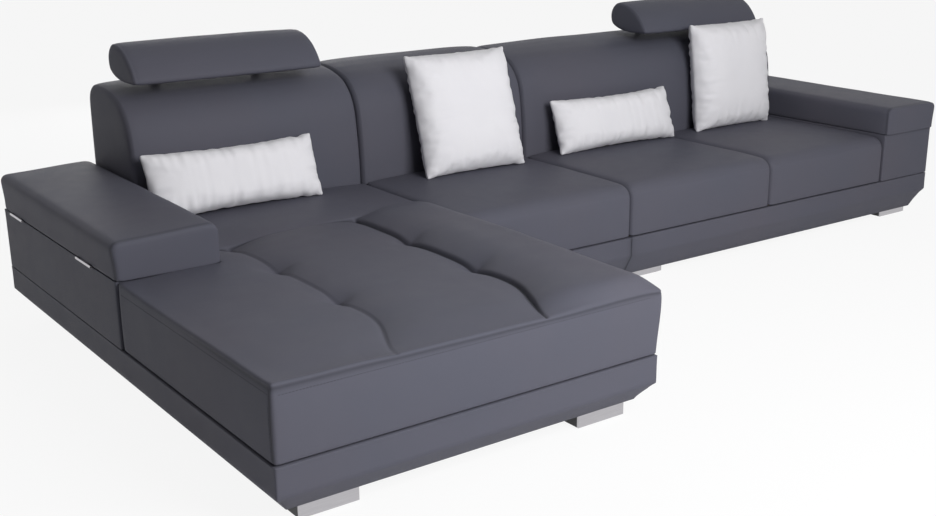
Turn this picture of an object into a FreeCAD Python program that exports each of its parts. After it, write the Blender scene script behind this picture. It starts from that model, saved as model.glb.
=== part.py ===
# Sectional sofa: a chaise module with a middle seat, and a two-seat module on its right.
# Frame: +X along the sofa, +Y from the chaise's foot end to the backs, +Z up, floor at Z = 0.
# The origin is on the floor, under the middle of the sofa's outline.
import FreeCAD, Part
import math
import os
import re
import Sketcher

from FreeCAD import Placement, Rotation, Vector

doc = FreeCAD.newDocument("Sofa")

# Driving dimensions, in millimetres and degrees.
SIZES = {
    # the two modules, seat by seat
    "overall_depth": 1900,
    "sofa_depth": 1005,
    "chaise_width": 1142,
    "middle_seat_width": 728,
    "module_gap": 4,
    "inner_right_seat_width": 722,
    "outer_right_seat_width": 683,
    "arm_width": 305,
    "seam": 2,
    "fit": 0.3,
    # heights of the seats and backs
    "seat_height": 366,
    "seat_crown": 15,
    "back_height": 780,
    # padded band and timber frame of the base
    "band_thick": 34,
    "band_bevel_wide": 30,
    "band_bevel_tall": 45,
    "band_lip": 14,
    "skirt_bevel_tall": 72,
    "skirt_lip": 32,
    "base_gap": 4,
    "rail_thick": 25,
    "rail_bottom": 72,
    "rail_tall": 110,
    "joint_rail_inset": 10,
    "cover_thick": 1.5,
    "web_thick": 1.5,
    "web_wide": 60,
    # feet
    "foot_wide": 160,
    "foot_deep": 58,
    "foot_setback": 67,
    "foot_from_left": 87,
    "foot_from_chaise_side": 60,
    "foot_from_joint": 55,
    "foot_from_right": 42,
    "foot_plate_thick": 2,
    "foot_plate_lip": 6,
    "foot_glide_thick": 3,
    "foot_glide_inset": 6,
    "foot_screw_radius": 3,
    "foot_screw_inset": 40,
    "foot_screw_start": 25,
    "foot_screw_bite": 30,
    "foot_block_tall": 40,
    "foot_block_spare": 30,
    "foot_block_inset": 20,
    # clamps between the modules
    "clamp_inset": 260,
    "clamp_bar_wide": 30,
    "clamp_bar_thick": 3,
    "clamp_bar_end": 22,
    "stud_radius": 4,
    "stud_head_radius": 8,
    "stud_head_tall": 3,
    "stud_bite": 20,
    # padded forms: how the ends draw in, and how the edges roll over
    "end_round": 16,
    "front_bulge": 4.5,
    "front_roll_deep": 52,
    "front_roll_tall": 42,
    "front_roll_swell": 13,
    "foam_wall": 40,
    # chaise
    "chaise_side_reach": 2,
    "side_bulge": 3.5,
    "side_roll_wide": 26,
    "side_roll_tall": 20,
    "side_roll_swell": 6,
    "left_channel": 392,
    "right_channel": 295,
    "cross_seam": 203,
    "seam_dip": 8,
    "front_tuft": 380,
    "rear_tuft": 373,
    "channel_depth": 7,
    "tuft_depth": 13,
    "tuft_reach": 32,
    "front_fade": 90,
    # backs
    "back_deep": 396,
    "back_rear_inset": 11,
    "back_wall": 58,
    "back_belly": 6,
    "back_lean": 24,
    "shoulder_drop": 135,
    "brow_deep": 128,
    "brow_drop": 23,
    "brow_swell": 20,
    "crest_swell": 8.5,
    "rear_round_deep": 90,
    "rear_round_tall": 85,
    "rear_round_swell": 27,
    "frame_deep": 153,
    "frame_top_drop": 35,
    "foam_gap": 6,
    "post_gap": 2,
    "back_board_thick": 6,
    "top_rail_tall": 55,
    "mid_rail_tall": 50,
    "mid_rail_rise": 54,
    # headrests: profile about its own middle, then board and ratchet hinges
    "head_width": 670,
    "left_head_inset": 36,
    "right_head_inset": 85,
    "head_ahead": 92,
    "head_above": 33,
    "head_nose": 112,
    "head_heel": 98,
    "head_crest": 72,
    "head_top": 60,
    "head_under": 56,
    "head_nose_round": 15,
    "head_heel_drop": 33,
    "head_brow_swell": 32,
    "head_rear_swell": 24,
    "head_board_thick": 12,
    "head_board_deep": 153,
    "head_board_gap": 12,
    "head_board_inset": 45,
    "head_pivot_rise": 32,
    "head_knuckle": 7,
    "head_pin_radius": 3,
    "head_strap_wide": 30,
    "head_strap_thick": 3,
    "head_strap_reach": 60,
    "head_leaf_reach": 110,
    "head_hinge_inset": 150,
    "hinge_clear": 3,
    "pin_fit": 0.15,
    # arms and their lids
    "arm_rear_inset": 5,
    "arm_skin": 6,
    "box_board": 16,
    "box_floor_thick": 12,
    "box_above_seat": 7,
    "lid_gap": 8,
    "lid_thick": 110,
    "lid_overhang": 2,
    "lid_clear": 3,
    "lid_front_overhang": 12,
    "lid_round": 30,
    "lid_bulge": 2,
    "lid_board_thick": 15,
    "lid_board_inset": 18,
    "lid_hinge_length": 120,
    "lid_hinge_front": 171,
    "lid_hinge_rear": 88,
    "lid_leaf_wide": 34,
    "lid_leaf_thick": 1.5,
    "lid_pin_radius": 1.8,
    # scatter cushions: size, lean, and how far each stands from its arm or its seat's middle
    "long_pillow_wide": 606,
    "long_pillow_tall": 215,
    "long_pillow_thick": 110,
    "long_pillow_lean": 20,
    "square_pillow_wide": 445,
    "square_pillow_tall": 450,
    "square_pillow_thick": 125,
    "square_pillow_lean": 18,
    "upright_pillow_lean": 8,
    "left_long_gap": 10,
    "left_square_offset": 38,
    "right_long_offset": 32,
    "pillow_clear": 0.4,
}

sheet = doc.addObject("Spreadsheet::Sheet", "Size")
for row, (alias, amount) in enumerate(SIZES.items(), start=1):
    sheet.set(f"A{row}", alias.replace("_", " "))
    sheet.set(f"B{row}", str(amount))
    sheet.setAlias(f"B{row}", alias)
doc.recompute()

# Planes and lengths worked out from the sizes, each by name.
PLACES = {
    "barrel": "lid_gap / 2",
    "left_module_width": "chaise_width + middle_seat_width",
    "right_module_width": "inner_right_seat_width + outer_right_seat_width + arm_width",
    "left_face": "-(left_module_width + module_gap + right_module_width) / 2",
    "right_face": "-left_face",
    "chaise_right": "left_face + chaise_width",
    "left_joint": "left_face + left_module_width",
    "right_joint": "left_joint + module_gap",
    "seat_split": "right_joint + inner_right_seat_width",
    "front": "-overall_depth / 2",
    "rear": "overall_depth / 2",
    "sofa_front": "rear - sofa_depth",
    "rail_rear": "rear - band_thick",
    "rail_top": "rail_bottom + rail_tall",
    "band_bottom": "rail_bottom - band_lip",
    "skirt_bottom": "rail_bottom - skirt_lip",
    "cover_bottom": "rail_bottom - cover_thick",
    "web_top": "rail_top + 2 * web_thick",
    "base_top": "web_top - base_gap",
    "back_face": "rear - back_deep",
    "back_rear": "rear - back_rear_inset",
    "seat_rear": "back_face - seam",
    "seat_foam_top": "seat_height - foam_wall",
    "frame_face": "rear - frame_deep",
    "frame_top": "back_height - frame_top_drop",
    "back_foam_rear": "frame_face - foam_gap",
    "back_foam_top": "back_height - shoulder_drop",
    "pivot_height": "back_height + head_pivot_rise",
    "pivot_depth": "frame_face - head_strap_thick / 2",
    "head_board_bottom": "pivot_height - head_knuckle + 1",
    "left_arm_inner": "left_face + arm_width",
    "right_arm_inner": "right_face - arm_width",
    "left_back_end": "left_arm_inner + lid_overhang + lid_clear",
    "right_back_end": "right_arm_inner - lid_overhang - lid_clear",
    "left_head_start": "left_back_end + left_head_inset",
    "right_head_start": "right_back_end - right_head_inset - head_width",
    "arm_front": "sofa_front + seam",
    "arm_rear": "rear - arm_rear_inset",
    "box_front": "arm_front + arm_skin",
    "box_rear": "arm_rear - arm_skin",
    "box_top": "seat_height + box_above_seat",
    "lid_bottom": "box_top + lid_gap",
    "lid_top": "lid_bottom + lid_thick",
    "lid_front": "arm_front - lid_front_overhang",
}

# How far a cutting form runs past the face that it opens.
OVER = 1
# The share of an end's drawing in that its sides take, by kind of cushion.
SEAT_SIDE_DRAW = 0.4
BACK_SIDE_DRAW = 0.7
LID_SIDE_DRAW = 0.5
# The share of its crown that a seat keeps at its ends, and of its front crown that a chaise loses.
END_CROWN = 0.4
FRONT_LOSS = 0.8


def full(text):
    """An expression for the sheet, with every named place written out in its sizes."""
    def swap(match):
        word = match.group(0)
        if word in PLACES:
            return "(" + full(PLACES[word]) + ")"
        return "Size." + word if word in SIZES else word
    return re.sub(r"[A-Za-z_][A-Za-z_0-9]*", swap, str(text))


def mm(text):
    """The value of an expression of sizes and places."""
    return float(sheet.evalExpression(full(text)))


NODES = []


def node(item, name):
    """Names a finished piece, which becomes a file of its own."""
    item.Label = name
    NODES.append(item)
    return item


def box(name, x, y, z):
    """A board between two planes along each axis."""
    item = doc.addObject("Part::Box", name)
    for side, axis, (low, high) in (("Length", "x", x), ("Width", "y", y), ("Height", "z", z)):
        item.setExpression(side, full(f"({high}) - ({low})"))
        item.setExpression("Placement.Base." + axis, full(low))
    return item


def shrunk(planes, amount="fit"):
    """Two planes moved towards each other."""
    return (f"{planes[0]} + ({amount})", f"{planes[1]} - ({amount})")


TURNS = {
    "x": Rotation(Vector(0, 1, 0), 90),
    "y": Rotation(Vector(1, 0, 0), -90),
    "z": Rotation(),
}


def rod(name, axis, radius, ends, across):
    """A round bar along one axis, between two planes, at the two places across it."""
    item = doc.addObject("Part::Cylinder", name)
    item.Placement = Placement(Vector(), TURNS[axis])
    item.setExpression("Radius", full(radius))
    item.setExpression("Height", full(f"({ends[1]}) - ({ends[0]})"))
    places = dict(zip([a for a in "xyz" if a != axis], across))
    places[axis] = ends[0]
    for direction, place in places.items():
        item.setExpression("Placement.Base." + direction, full(place))
    return item


def together(name, items):
    """Separate solids held as one object."""
    item = doc.addObject("Part::Compound", name)
    item.Links = items
    return item


def group(name, items):
    """Separate solids that share one node."""
    return node(together(name, items), name)


def cut(name, base, tool):
    item = doc.addObject("Part::Cut", name)
    item.Base = base
    item.Tool = tool
    return item


def fuse(name, items):
    item = doc.addObject("Part::MultiFuse", name)
    item.Shapes = items
    return item


def shaped(name, shape):
    item = doc.addObject("Part::Feature", name)
    item.Shape = shape
    return item


def outline(spot, corners):
    """A closed wire through corners, each given with how far the side after it swells outwards.

    The corners run so that the outside is on the left. spot puts a flat place into space."""
    sides = []
    for (start, swell), (end, _) in zip(corners, corners[1:] + corners[:1]):
        if swell:
            run = math.dist(start, end)
            middle = ((start[0] + end[0]) / 2 - (end[1] - start[1]) / run * swell,
                      (start[1] + end[1]) / 2 + (end[0] - start[0]) / run * swell)
            sides.append(Part.Arc(spot(*start), spot(*middle), spot(*end)).toShape())
        else:
            sides.append(Part.LineSegment(spot(*start), spot(*end)).toShape())
    return Part.Wire(sides)


def loft(wires):
    """A closed solid through slices, straight from each to the next."""
    return Part.makeLoft(wires, True, True)


def slices(length, middle):
    """Stations along a padded form: place, how far it draws in there, and how full it is, 0 to 1."""
    radius = mm("end_round")
    places = []
    for turn in (0, 30, 60, 90):
        angle = math.radians(turn)
        places.append((radius * (1 - math.cos(angle)), radius * (1 - math.sin(angle))))
    inner = [(radius + (length - 2 * radius) * n / middle, 0) for n in range(1, middle)]
    places += inner + [(length - step, inset) for step, inset in reversed(places)]
    return [(step, inset, math.sin(math.pi * step / length)) for step, inset in places]


# Base of a module: padded band, timber frame, dust cover and webbing

def strip_section(kind):
    """A padded strip across its run, as depth behind its face and height: bevelled at the bottom edge."""
    thick = mm("band_thick")
    return [
        (0, mm("base_top")),
        (0, mm(f"{kind}_bottom + {kind}_bevel_tall")),
        (mm("band_bevel_wide"), mm(f"{kind}_bottom")),
        (thick, mm(f"{kind}_bottom")),
        (thick, mm("base_top")),
    ]


def base_band(name, corners, kinds):
    """Padded strips along an open outline, mitred at its corners. A skirt hangs lower than a band."""
    points = [Vector(mm(x), mm(y), 0) for x, y in corners]
    inward = []
    for start, end in zip(points, points[1:]):
        along = (end - start).normalize()
        inward.append(Vector(-along.y, along.x, 0))
    strips = []
    for index, (start, end) in enumerate(zip(points, points[1:])):
        here = inward[index]
        before = inward[index - 1] if index > 0 else Vector()
        after = inward[index + 1] if index + 1 < len(inward) else Vector()
        section = strip_section(kinds[index])
        wires = []
        for corner, other in ((start, before), (end, after)):
            step = here + other
            ring = [corner + step * depth + Vector(0, 0, height) for depth, height in section]
            wires.append(Part.makePolygon(ring + ring[:1]))
        strips.append(shaped(f"{name}_{index + 1}", loft(wires)))
    return group(name, strips)


base_band("left_base_padding", [
    ("left_joint", "rear"),
    ("left_face", "rear"),
    ("left_face", "front"),
    ("chaise_right", "front"),
    ("chaise_right", "sofa_front"),
    ("left_joint", "sofa_front"),
], ["band"] * 4 + ["skirt"])
base_band("right_base_padding", [
    ("right_joint", "sofa_front"),
    ("right_face", "sofa_front"),
    ("right_face", "rear"),
    ("right_joint", "rear"),
], ["skirt"] * 3)

RAIL = ("rail_bottom", "rail_top")
REAR_RAIL = ("rail_rear - rail_thick", "rail_rear")
FRONT_RAIL = ("sofa_front + band_thick", "sofa_front + band_thick + rail_thick")
BEHIND_FRONT = (FRONT_RAIL[1], REAR_RAIL[0])
BACK_REST = ("back_face + seam", "back_face + seam + rail_thick")
ARM_REST = ("arm_front - rail_thick / 2", "arm_front + rail_thick / 2")
LEFT_RAIL = ("left_face + band_thick", "left_face + band_thick + rail_thick")
CHAISE_RAIL = ("chaise_right - band_thick - rail_thick", "chaise_right - band_thick")
CHAISE_FRONT = ("front + band_thick", "front + band_thick + rail_thick")
LEFT_JOINT_RAIL = ("left_joint - joint_rail_inset - rail_thick", "left_joint - joint_rail_inset")
RIGHT_JOINT_RAIL = ("right_joint + joint_rail_inset", "right_joint + joint_rail_inset + rail_thick")
RIGHT_RAIL = ("right_face - band_thick - rail_thick", "right_face - band_thick")
LEFT_ARM_RAIL = ("left_arm_inner - rail_thick / 2", "left_arm_inner + rail_thick / 2")
RIGHT_ARM_RAIL = ("right_arm_inner - rail_thick / 2", "right_arm_inner + rail_thick / 2")
SPLIT_RAIL = ("seat_split - rail_thick / 2", "seat_split + rail_thick / 2")

# Feet: left edge along X and front edge along Y of each, and whether it faces the front
FRONT_FEET = "front + foot_setback"
MIDDLE_FEET = "sofa_front + foot_setback"
REAR_FEET = "rear - foot_setback - foot_deep"
FEET = [
    ("left_face + foot_from_left", FRONT_FEET, True),
    ("chaise_right - foot_from_chaise_side - foot_wide", FRONT_FEET, True),
    ("left_face + foot_from_left", REAR_FEET, False),
    ("chaise_right - foot_from_chaise_side - foot_wide", REAR_FEET, False),
    ("left_joint - foot_from_joint - foot_wide", MIDDLE_FEET, True),
    ("left_joint - foot_from_joint - foot_wide", REAR_FEET, False),
    ("right_joint + foot_from_joint", MIDDLE_FEET, True),
    ("right_joint + foot_from_joint", REAR_FEET, False),
    ("right_face - foot_from_right - foot_wide", MIDDLE_FEET, True),
    ("right_face - foot_from_right - foot_wide", REAR_FEET, False),
]
CHAISE_FEET = range(0, 4)
MIDDLE_SEAT_FEET = range(4, 6)
LEFT_FEET = range(0, 6)
RIGHT_FEET = range(6, 10)


def foot_rods(tag, index, radius, ends):
    """Upright rods at the two screw places of one foot."""
    x, y, _ = FEET[index]
    places = shrunk((x, f"{x} + foot_wide"), "foot_screw_inset")
    return [rod(f"{tag}_{index + 1}_{number + 1}", "z", radius, ends, (place, f"{y} + foot_deep / 2"))
            for number, place in enumerate(places)]


def foot_block(index):
    """A block in the frame that a foot is screwed to, with its two pilot holes."""
    x, y, faces_front = FEET[index]
    if faces_front:
        depth = (f"{y} - foot_setback + band_thick + rail_thick", f"{y} + foot_deep + foot_block_spare")
    else:
        depth = (f"{y} - foot_block_spare", REAR_RAIL[0])
    blank = box(f"foot_block_blank_{index + 1}", shrunk((x, f"{x} + foot_wide"), "foot_block_inset"),
                depth, ("rail_bottom", "rail_bottom + foot_block_tall"))
    holes = foot_rods("block_hole", index, "foot_screw_radius",
                      (f"rail_bottom - {OVER}", "rail_bottom + foot_screw_bite"))
    return cut(f"foot_block_{index + 1}", blank, together(f"block_holes_{index + 1}", holes))


CLAMPS = ("sofa_front + clamp_inset", "rail_rear - clamp_inset")
STUDS = {
    "left": "left_joint - joint_rail_inset - rail_thick / 2",
    "right": "right_joint + joint_rail_inset + rail_thick / 2",
}


def stud_rods(tag, side, radius, ends):
    """Upright rods at the two clamp places of one module."""
    return [rod(f"{tag}_{side}_{number + 1}", "z", radius, ends, (STUDS[side], place))
            for number, place in enumerate(CLAMPS)]


def rails(name, side, boards, feet):
    """Boards on edge round a module, the one at the joint first, with a block for each foot."""
    items = [box(f"{name}_{number + 1}", x, y, RAIL) for number, (x, y) in enumerate(boards)]
    holes = stud_rods("rail_hole", side, "stud_radius",
                      (f"rail_bottom - {OVER}", "rail_bottom + stud_bite"))
    items[0] = cut(f"{name}_drilled", items[0], together(f"{name}_holes", holes))
    return group(name, items + [foot_block(index) for index in feet])


rails("left_base_frame", "left", [
    (LEFT_JOINT_RAIL, BEHIND_FRONT),
    ((LEFT_RAIL[0], LEFT_JOINT_RAIL[1]), REAR_RAIL),
    (LEFT_RAIL, (CHAISE_FRONT[0], REAR_RAIL[0])),
    ((LEFT_RAIL[1], CHAISE_RAIL[1]), CHAISE_FRONT),
    (CHAISE_RAIL, (CHAISE_FRONT[1], REAR_RAIL[0])),
    ((CHAISE_RAIL[1], LEFT_JOINT_RAIL[1]), FRONT_RAIL),
    ((LEFT_RAIL[1], CHAISE_RAIL[0]), ARM_REST),
    (LEFT_ARM_RAIL, (ARM_REST[1], REAR_RAIL[0])),
    ((LEFT_ARM_RAIL[1], CHAISE_RAIL[0]), BACK_REST),
    ((CHAISE_RAIL[1], LEFT_JOINT_RAIL[0]), BACK_REST),
], LEFT_FEET)
rails("right_base_frame", "right", [
    (RIGHT_JOINT_RAIL, BEHIND_FRONT),
    ((RIGHT_JOINT_RAIL[0], RIGHT_RAIL[1]), REAR_RAIL),
    ((RIGHT_JOINT_RAIL[0], RIGHT_RAIL[1]), FRONT_RAIL),
    (RIGHT_RAIL, BEHIND_FRONT),
    (RIGHT_ARM_RAIL, BEHIND_FRONT),
    (SPLIT_RAIL, BEHIND_FRONT),
    ((RIGHT_JOINT_RAIL[1], SPLIT_RAIL[0]), BACK_REST),
    ((SPLIT_RAIL[1], RIGHT_ARM_RAIL[0]), BACK_REST),
], RIGHT_FEET)


# Dust covers lie under the rails, inside the band

def dust_cloth(name, x, front, feet, side=None):
    """A cloth under a module, with holes for the foot screws and the clamp studs."""
    through = (f"cover_bottom - {OVER}", f"rail_bottom + {OVER}")
    holes = []
    for index in feet:
        holes += foot_rods(name + "_hole", index, "foot_screw_radius + fit", through)
    if side:
        holes += stud_rods(name + "_stud_hole", side, "stud_radius + fit", through)
    blank = box(name + "_blank", x, (f"{front} + band_thick", "rail_rear"),
                ("cover_bottom", "rail_bottom"))
    return cut(name, blank, together(name + "_holes", holes))


group("left_dust_cover", [
    dust_cloth("chaise_cloth", (LEFT_RAIL[0], CHAISE_RAIL[1]), "front", CHAISE_FEET),
    dust_cloth("middle_cloth", (CHAISE_RAIL[1], LEFT_JOINT_RAIL[1]), "sofa_front",
               MIDDLE_SEAT_FEET, "left"),
])
node(dust_cloth("right_cloth", (RIGHT_JOINT_RAIL[0], RIGHT_RAIL[1]), "sofa_front", RIGHT_FEET, "right"),
     "right_dust_cover")


def spread(planes, count):
    """The edges of a number of straps, evenly spaced between two planes."""
    low, high = planes
    middles = [f"{low} + ({high} - ({low})) * {n + 0.5} / {count}" for n in range(count)]
    return [(f"{middle} - web_wide / 2", f"{middle} + web_wide / 2") for middle in middles]


def bands(name, across, along, count):
    """Webbing over a rectangle: straps across it, and straps along it on top of those."""
    lower = [box(f"{name}_cross_{n + 1}", across, place, ("rail_top", "rail_top + web_thick"))
             for n, place in enumerate(spread(along, count))]
    upper = [box(f"{name}_long_{n + 1}", place, along, ("rail_top + web_thick", "web_top"))
             for n, place in enumerate(spread(across, count))]
    return lower + upper


CHAISE_STRAPS = 7
SEAT_STRAPS = 5
SEAT_BAND = (FRONT_RAIL[0], BACK_REST[1])
CHAISE_RAIL_MIDDLE = "chaise_right - band_thick - rail_thick / 2"
BESIDE_ARM = ("left_arm_inner + fit", CHAISE_RAIL_MIDDLE)
group("left_seat_webbing",
      bands("chaise_foot_web", (LEFT_RAIL[0], CHAISE_RAIL_MIDDLE), (CHAISE_FRONT[0], "arm_front - fit"),
            CHAISE_STRAPS)
      + bands("chaise_seat_web", BESIDE_ARM, ("arm_front - fit", BACK_REST[1]), SEAT_STRAPS)
      + bands("middle_seat_web", (CHAISE_RAIL_MIDDLE, LEFT_JOINT_RAIL[1]), SEAT_BAND, SEAT_STRAPS))
group("right_seat_webbing",
      bands("inner_seat_web", (RIGHT_JOINT_RAIL[0], "seat_split"), SEAT_BAND, SEAT_STRAPS)
      + bands("outer_seat_web", ("seat_split", "right_arm_inner - fit"), SEAT_BAND, SEAT_STRAPS))


# Feet: a steel plate, its ends folded over a wooden core, on a glide, held by two screws

def foot_plate():
    """The plate with its two short lips, its front at Y = 0 and its left end at X = 0."""
    body = doc.addObject("PartDesign::Body", "foot_plate")
    plane = next(o for o in body.Origin.OriginFeatures if o.Role == "XY_Plane")
    sketch = body.newObject("Sketcher::SketchObject", "foot_plate_outline")
    sketch.AttachmentSupport = [(plane, "")]
    sketch.MapMode = "FlatFace"
    wide = mm("foot_wide")
    lip = mm("foot_plate_lip")
    thick = mm("foot_plate_thick")
    ring = [(0, 0), (wide, 0), (wide, lip), (wide - thick, lip), (wide - thick, thick),
            (thick, thick), (thick, lip), (0, lip)]
    count = len(ring)
    for start, end in zip(ring, ring[1:] + ring[:1]):
        sketch.addGeometry(Part.LineSegment(Vector(*start, 0), Vector(*end, 0)))
    for index in range(count):
        sketch.addConstraint(Sketcher.Constraint("Coincident", index, 2, (index + 1) % count, 1))
        kind = "Horizontal" if index % 2 == 0 else "Vertical"
        sketch.addConstraint(Sketcher.Constraint(kind, index))
    sketch.addConstraint(Sketcher.Constraint("Coincident", 0, 1, -1, 1))
    sides = ((0, "DistanceX", "foot_wide"), (1, "DistanceY", "foot_plate_lip"),
             (2, "DistanceX", "-foot_plate_thick"), (6, "DistanceX", "-foot_plate_thick"),
             (3, "DistanceY", "foot_plate_thick - foot_plate_lip"))
    for edge, kind, length in sides:
        number = sketch.addConstraint(Sketcher.Constraint(kind, edge, 1, edge, 2, mm(length)))
        sketch.setExpression(f"Constraints[{number}]", full(length))
    pad = body.newObject("PartDesign::Pad", "foot_plate_pad")
    pad.Profile = sketch
    pad.setExpression("Length", full("cover_bottom - foot_glide_thick"))
    doc.recompute()
    return body


plate = foot_plate()
plates = []
cores = []
glides = []
screws = []
for index, (x, y, faces_front) in enumerate(FEET):
    number = index + 1
    wide = (x, f"{x} + foot_wide")
    deep = (y, f"{y} + foot_deep")
    copy = shaped(f"foot_plate_{number}", plate.Shape.copy())
    near = 0 if faces_front else 1
    corner = Vector(mm(wide[near]), mm(deep[near]), mm("foot_glide_thick"))
    copy.Placement = Placement(corner, Rotation(Vector(0, 0, 1), 180 * near))
    plates.append(copy)
    behind_plate = [y, deep[1]]
    behind_lips = [y, deep[1]]
    behind_plate[near] += " - foot_plate_thick" if near else " + foot_plate_thick"
    behind_lips[near] += " - foot_plate_lip" if near else " + foot_plate_lip"
    upright = ("foot_glide_thick", "cover_bottom")
    core = fuse(f"foot_core_{number}", [
        box(f"foot_core_nose_{number}", shrunk(wide, "foot_plate_thick"), behind_plate, upright),
        box(f"foot_core_body_{number}", wide, behind_lips, upright),
    ])
    holes = foot_rods("core_hole", index, "foot_screw_radius",
                      (f"foot_glide_thick - {OVER}", f"cover_bottom + {OVER}"))
    cores.append(cut(f"foot_core_drilled_{number}", core, together(f"core_holes_{number}", holes)))
    screws += foot_rods("foot_screw", index, "foot_screw_radius",
                        ("foot_glide_thick + foot_screw_start", "rail_bottom + foot_screw_bite"))
    glides.append(box(f"foot_glide_{number}", shrunk(wide, "foot_glide_inset"),
                      shrunk(deep, "foot_glide_inset"), ("0", "foot_glide_thick")))
group("feet_steel_plates", plates)
group("feet_wood_cores", cores)
group("feet_glides", glides)
group("feet_screws", screws)

# Bars under the rails that clamp the modules together, each hooked over two studs
BAR_BOTTOM = "cover_bottom - clamp_bar_thick"
HEAD_TOP = BAR_BOTTOM + " - fit"
studs = []
bar_holes = []
for side in STUDS:
    bar_holes += stud_rods("bar_hole", side, "stud_radius + fit",
                           (f"{BAR_BOTTOM} - {OVER}", f"cover_bottom + {OVER}"))
    shanks = stud_rods("stud_shank", side, "stud_radius", (HEAD_TOP, "rail_bottom + stud_bite"))
    heads = stud_rods("stud_head", side, "stud_head_radius", (HEAD_TOP + " - stud_head_tall", HEAD_TOP))
    studs += [fuse(f"clamp_stud_{side}_{n + 1}", pair) for n, pair in enumerate(zip(shanks, heads))]
bars = []
for number, place in enumerate(CLAMPS):
    blank = box(f"clamp_bar_blank_{number + 1}",
                (STUDS["left"] + " - clamp_bar_end", STUDS["right"] + " + clamp_bar_end"),
                (f"{place} - clamp_bar_wide / 2", f"{place} + clamp_bar_wide / 2"),
                (BAR_BOTTOM, "cover_bottom"))
    holes = together(f"clamp_bar_holes_{number + 1}", bar_holes[number::len(CLAMPS)])
    bars.append(cut(f"clamp_bar_{number + 1}", blank, holes))
group("module_clamp_bars", bars)
group("module_clamp_studs", studs)


# Seats: a padded cover over a foam block, resting on the webbing

SEAT_POCKET = (f"web_top - {OVER}", "seat_foam_top")
SEAT_FOAM = ("web_top", "seat_foam_top - fit")


def seat_section(x, front, rear, inset, full_here):
    """One slice of a seat across its depth: crowned top, front edge rolled over, bulging front."""
    floor = mm("web_top")
    top = mm("seat_height") - inset
    bulge = mm("front_bulge")
    face = front + inset * SEAT_SIDE_DRAW + bulge
    crown = mm("seat_crown") * (END_CROWN + (1 - END_CROWN) * full_here)
    return outline(lambda y, z: Vector(x, y, z), [
        ((rear, floor), 0),
        ((face, floor), bulge),
        ((face, top - mm("front_roll_tall")), mm("front_roll_swell")),
        ((face + mm("front_roll_deep"), top), crown),
        ((rear, top + crown / 3), 0),
    ])


def seat(name, x):
    """A straight seat: cover and foam, between two planes."""
    low, high = [mm(plane) for plane in x]
    front = mm("sofa_front")
    rear = mm("seat_rear")
    cover = loft([seat_section(low + step, front, rear, inset, full_here)
                  for step, inset, full_here in slices(high - low, 6)])
    wide = shrunk(x, "foam_wall")
    deep = shrunk(("sofa_front", "seat_rear"), "foam_wall")
    pocket = box(name + "_pocket", wide, deep, SEAT_POCKET)
    node(cut(name, shaped(name + "_form", cover), pocket), name)
    foam = name.replace("cushion", "foam")
    node(box(foam, shrunk(wide), shrunk(deep), SEAT_FOAM), foam)


seat("middle_seat_cushion", ("chaise_right + seam / 2", "left_joint - seam"))
seat("inner_right_seat_cushion", ("right_joint + seam", "seat_split - seam / 2"))
seat("outer_right_seat_cushion", ("seat_split + seam / 2", "right_arm_inner - seam"))


def chaise_section(y, inset, channel, crown, panels=True):
    """One slice of the chaise across its width: three crowned panels between two channels."""
    bulge = mm("side_bulge")
    low = mm("left_face + chaise_side_reach") + inset * SEAT_SIDE_DRAW + bulge
    high = mm("chaise_right - seam / 2") - inset * SEAT_SIDE_DRAW - bulge
    floor = mm("web_top")
    top = mm("seat_height - seam") - inset
    side = top - mm("side_roll_tall")
    roll = mm("side_roll_wide")
    swell = mm("side_roll_swell")
    dip = top + crown / 4 - channel
    stops = [(low + roll, top), (high - roll, top)]
    if panels:
        stops[1:1] = [(mm("left_face + left_channel"), dip), (mm("chaise_right - right_channel"), dip)]
    rises = [top + crown - (a[1] + b[1]) / 2 for a, b in zip(stops, stops[1:])]
    return outline(lambda x, z: Vector(x, y, z), [
        ((high, floor), 0),
        ((low, floor), bulge),
        ((low, side), swell),
        *zip(stops, rises + [swell]),
        ((high, side), bulge),
    ])


def chaise_shape():
    """The chaise cushion: a long padded part with tufts, and the seat part behind the cross seam."""
    start = mm("front + chaise_side_reach")
    seam_line = mm("sofa_front + cross_seam")
    length = seam_line - start
    tufts = (mm("front_tuft"), length - mm("rear_tuft"), length)
    reach = mm("tuft_reach")
    stations = {step: inset for step, inset, _ in slices(length, 12) if step < length / 2}
    stations.update({length * share: 0 for share in (0.55, 0.75, 0.9)})
    for tuft in tufts[:2]:
        stations.update({tuft + reach * away: 0 for away in (-2, -1, -0.4, 0, 0.4, 1, 2)})
    stations.update({length - reach: 0, length: mm("seam_dip")})
    wires = []
    for step, inset in sorted(stations.items()):
        near = min(abs(step - tuft) for tuft in tufts)
        fullness = 1 - FRONT_LOSS * math.exp(-step / mm("front_fade"))
        channel = mm("channel_depth") * fullness + mm("tuft_depth") * math.exp(-(near / reach) ** 2)
        wires.append(chaise_section(start + step, inset, channel, mm("seat_crown") * fullness))
    rest = mm("seat_rear") - seam_line
    behind = ((0, mm("seam_dip")), (reach / 5, mm("seam_dip") / 2), (reach, 0), (rest / 2, 0),
              (rest, mm("seam")))
    seat_part = loft([chaise_section(seam_line + step, inset, 0, mm("seat_crown"), panels=False)
                      for step, inset in behind])
    return loft(wires).fuse(seat_part)


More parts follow.
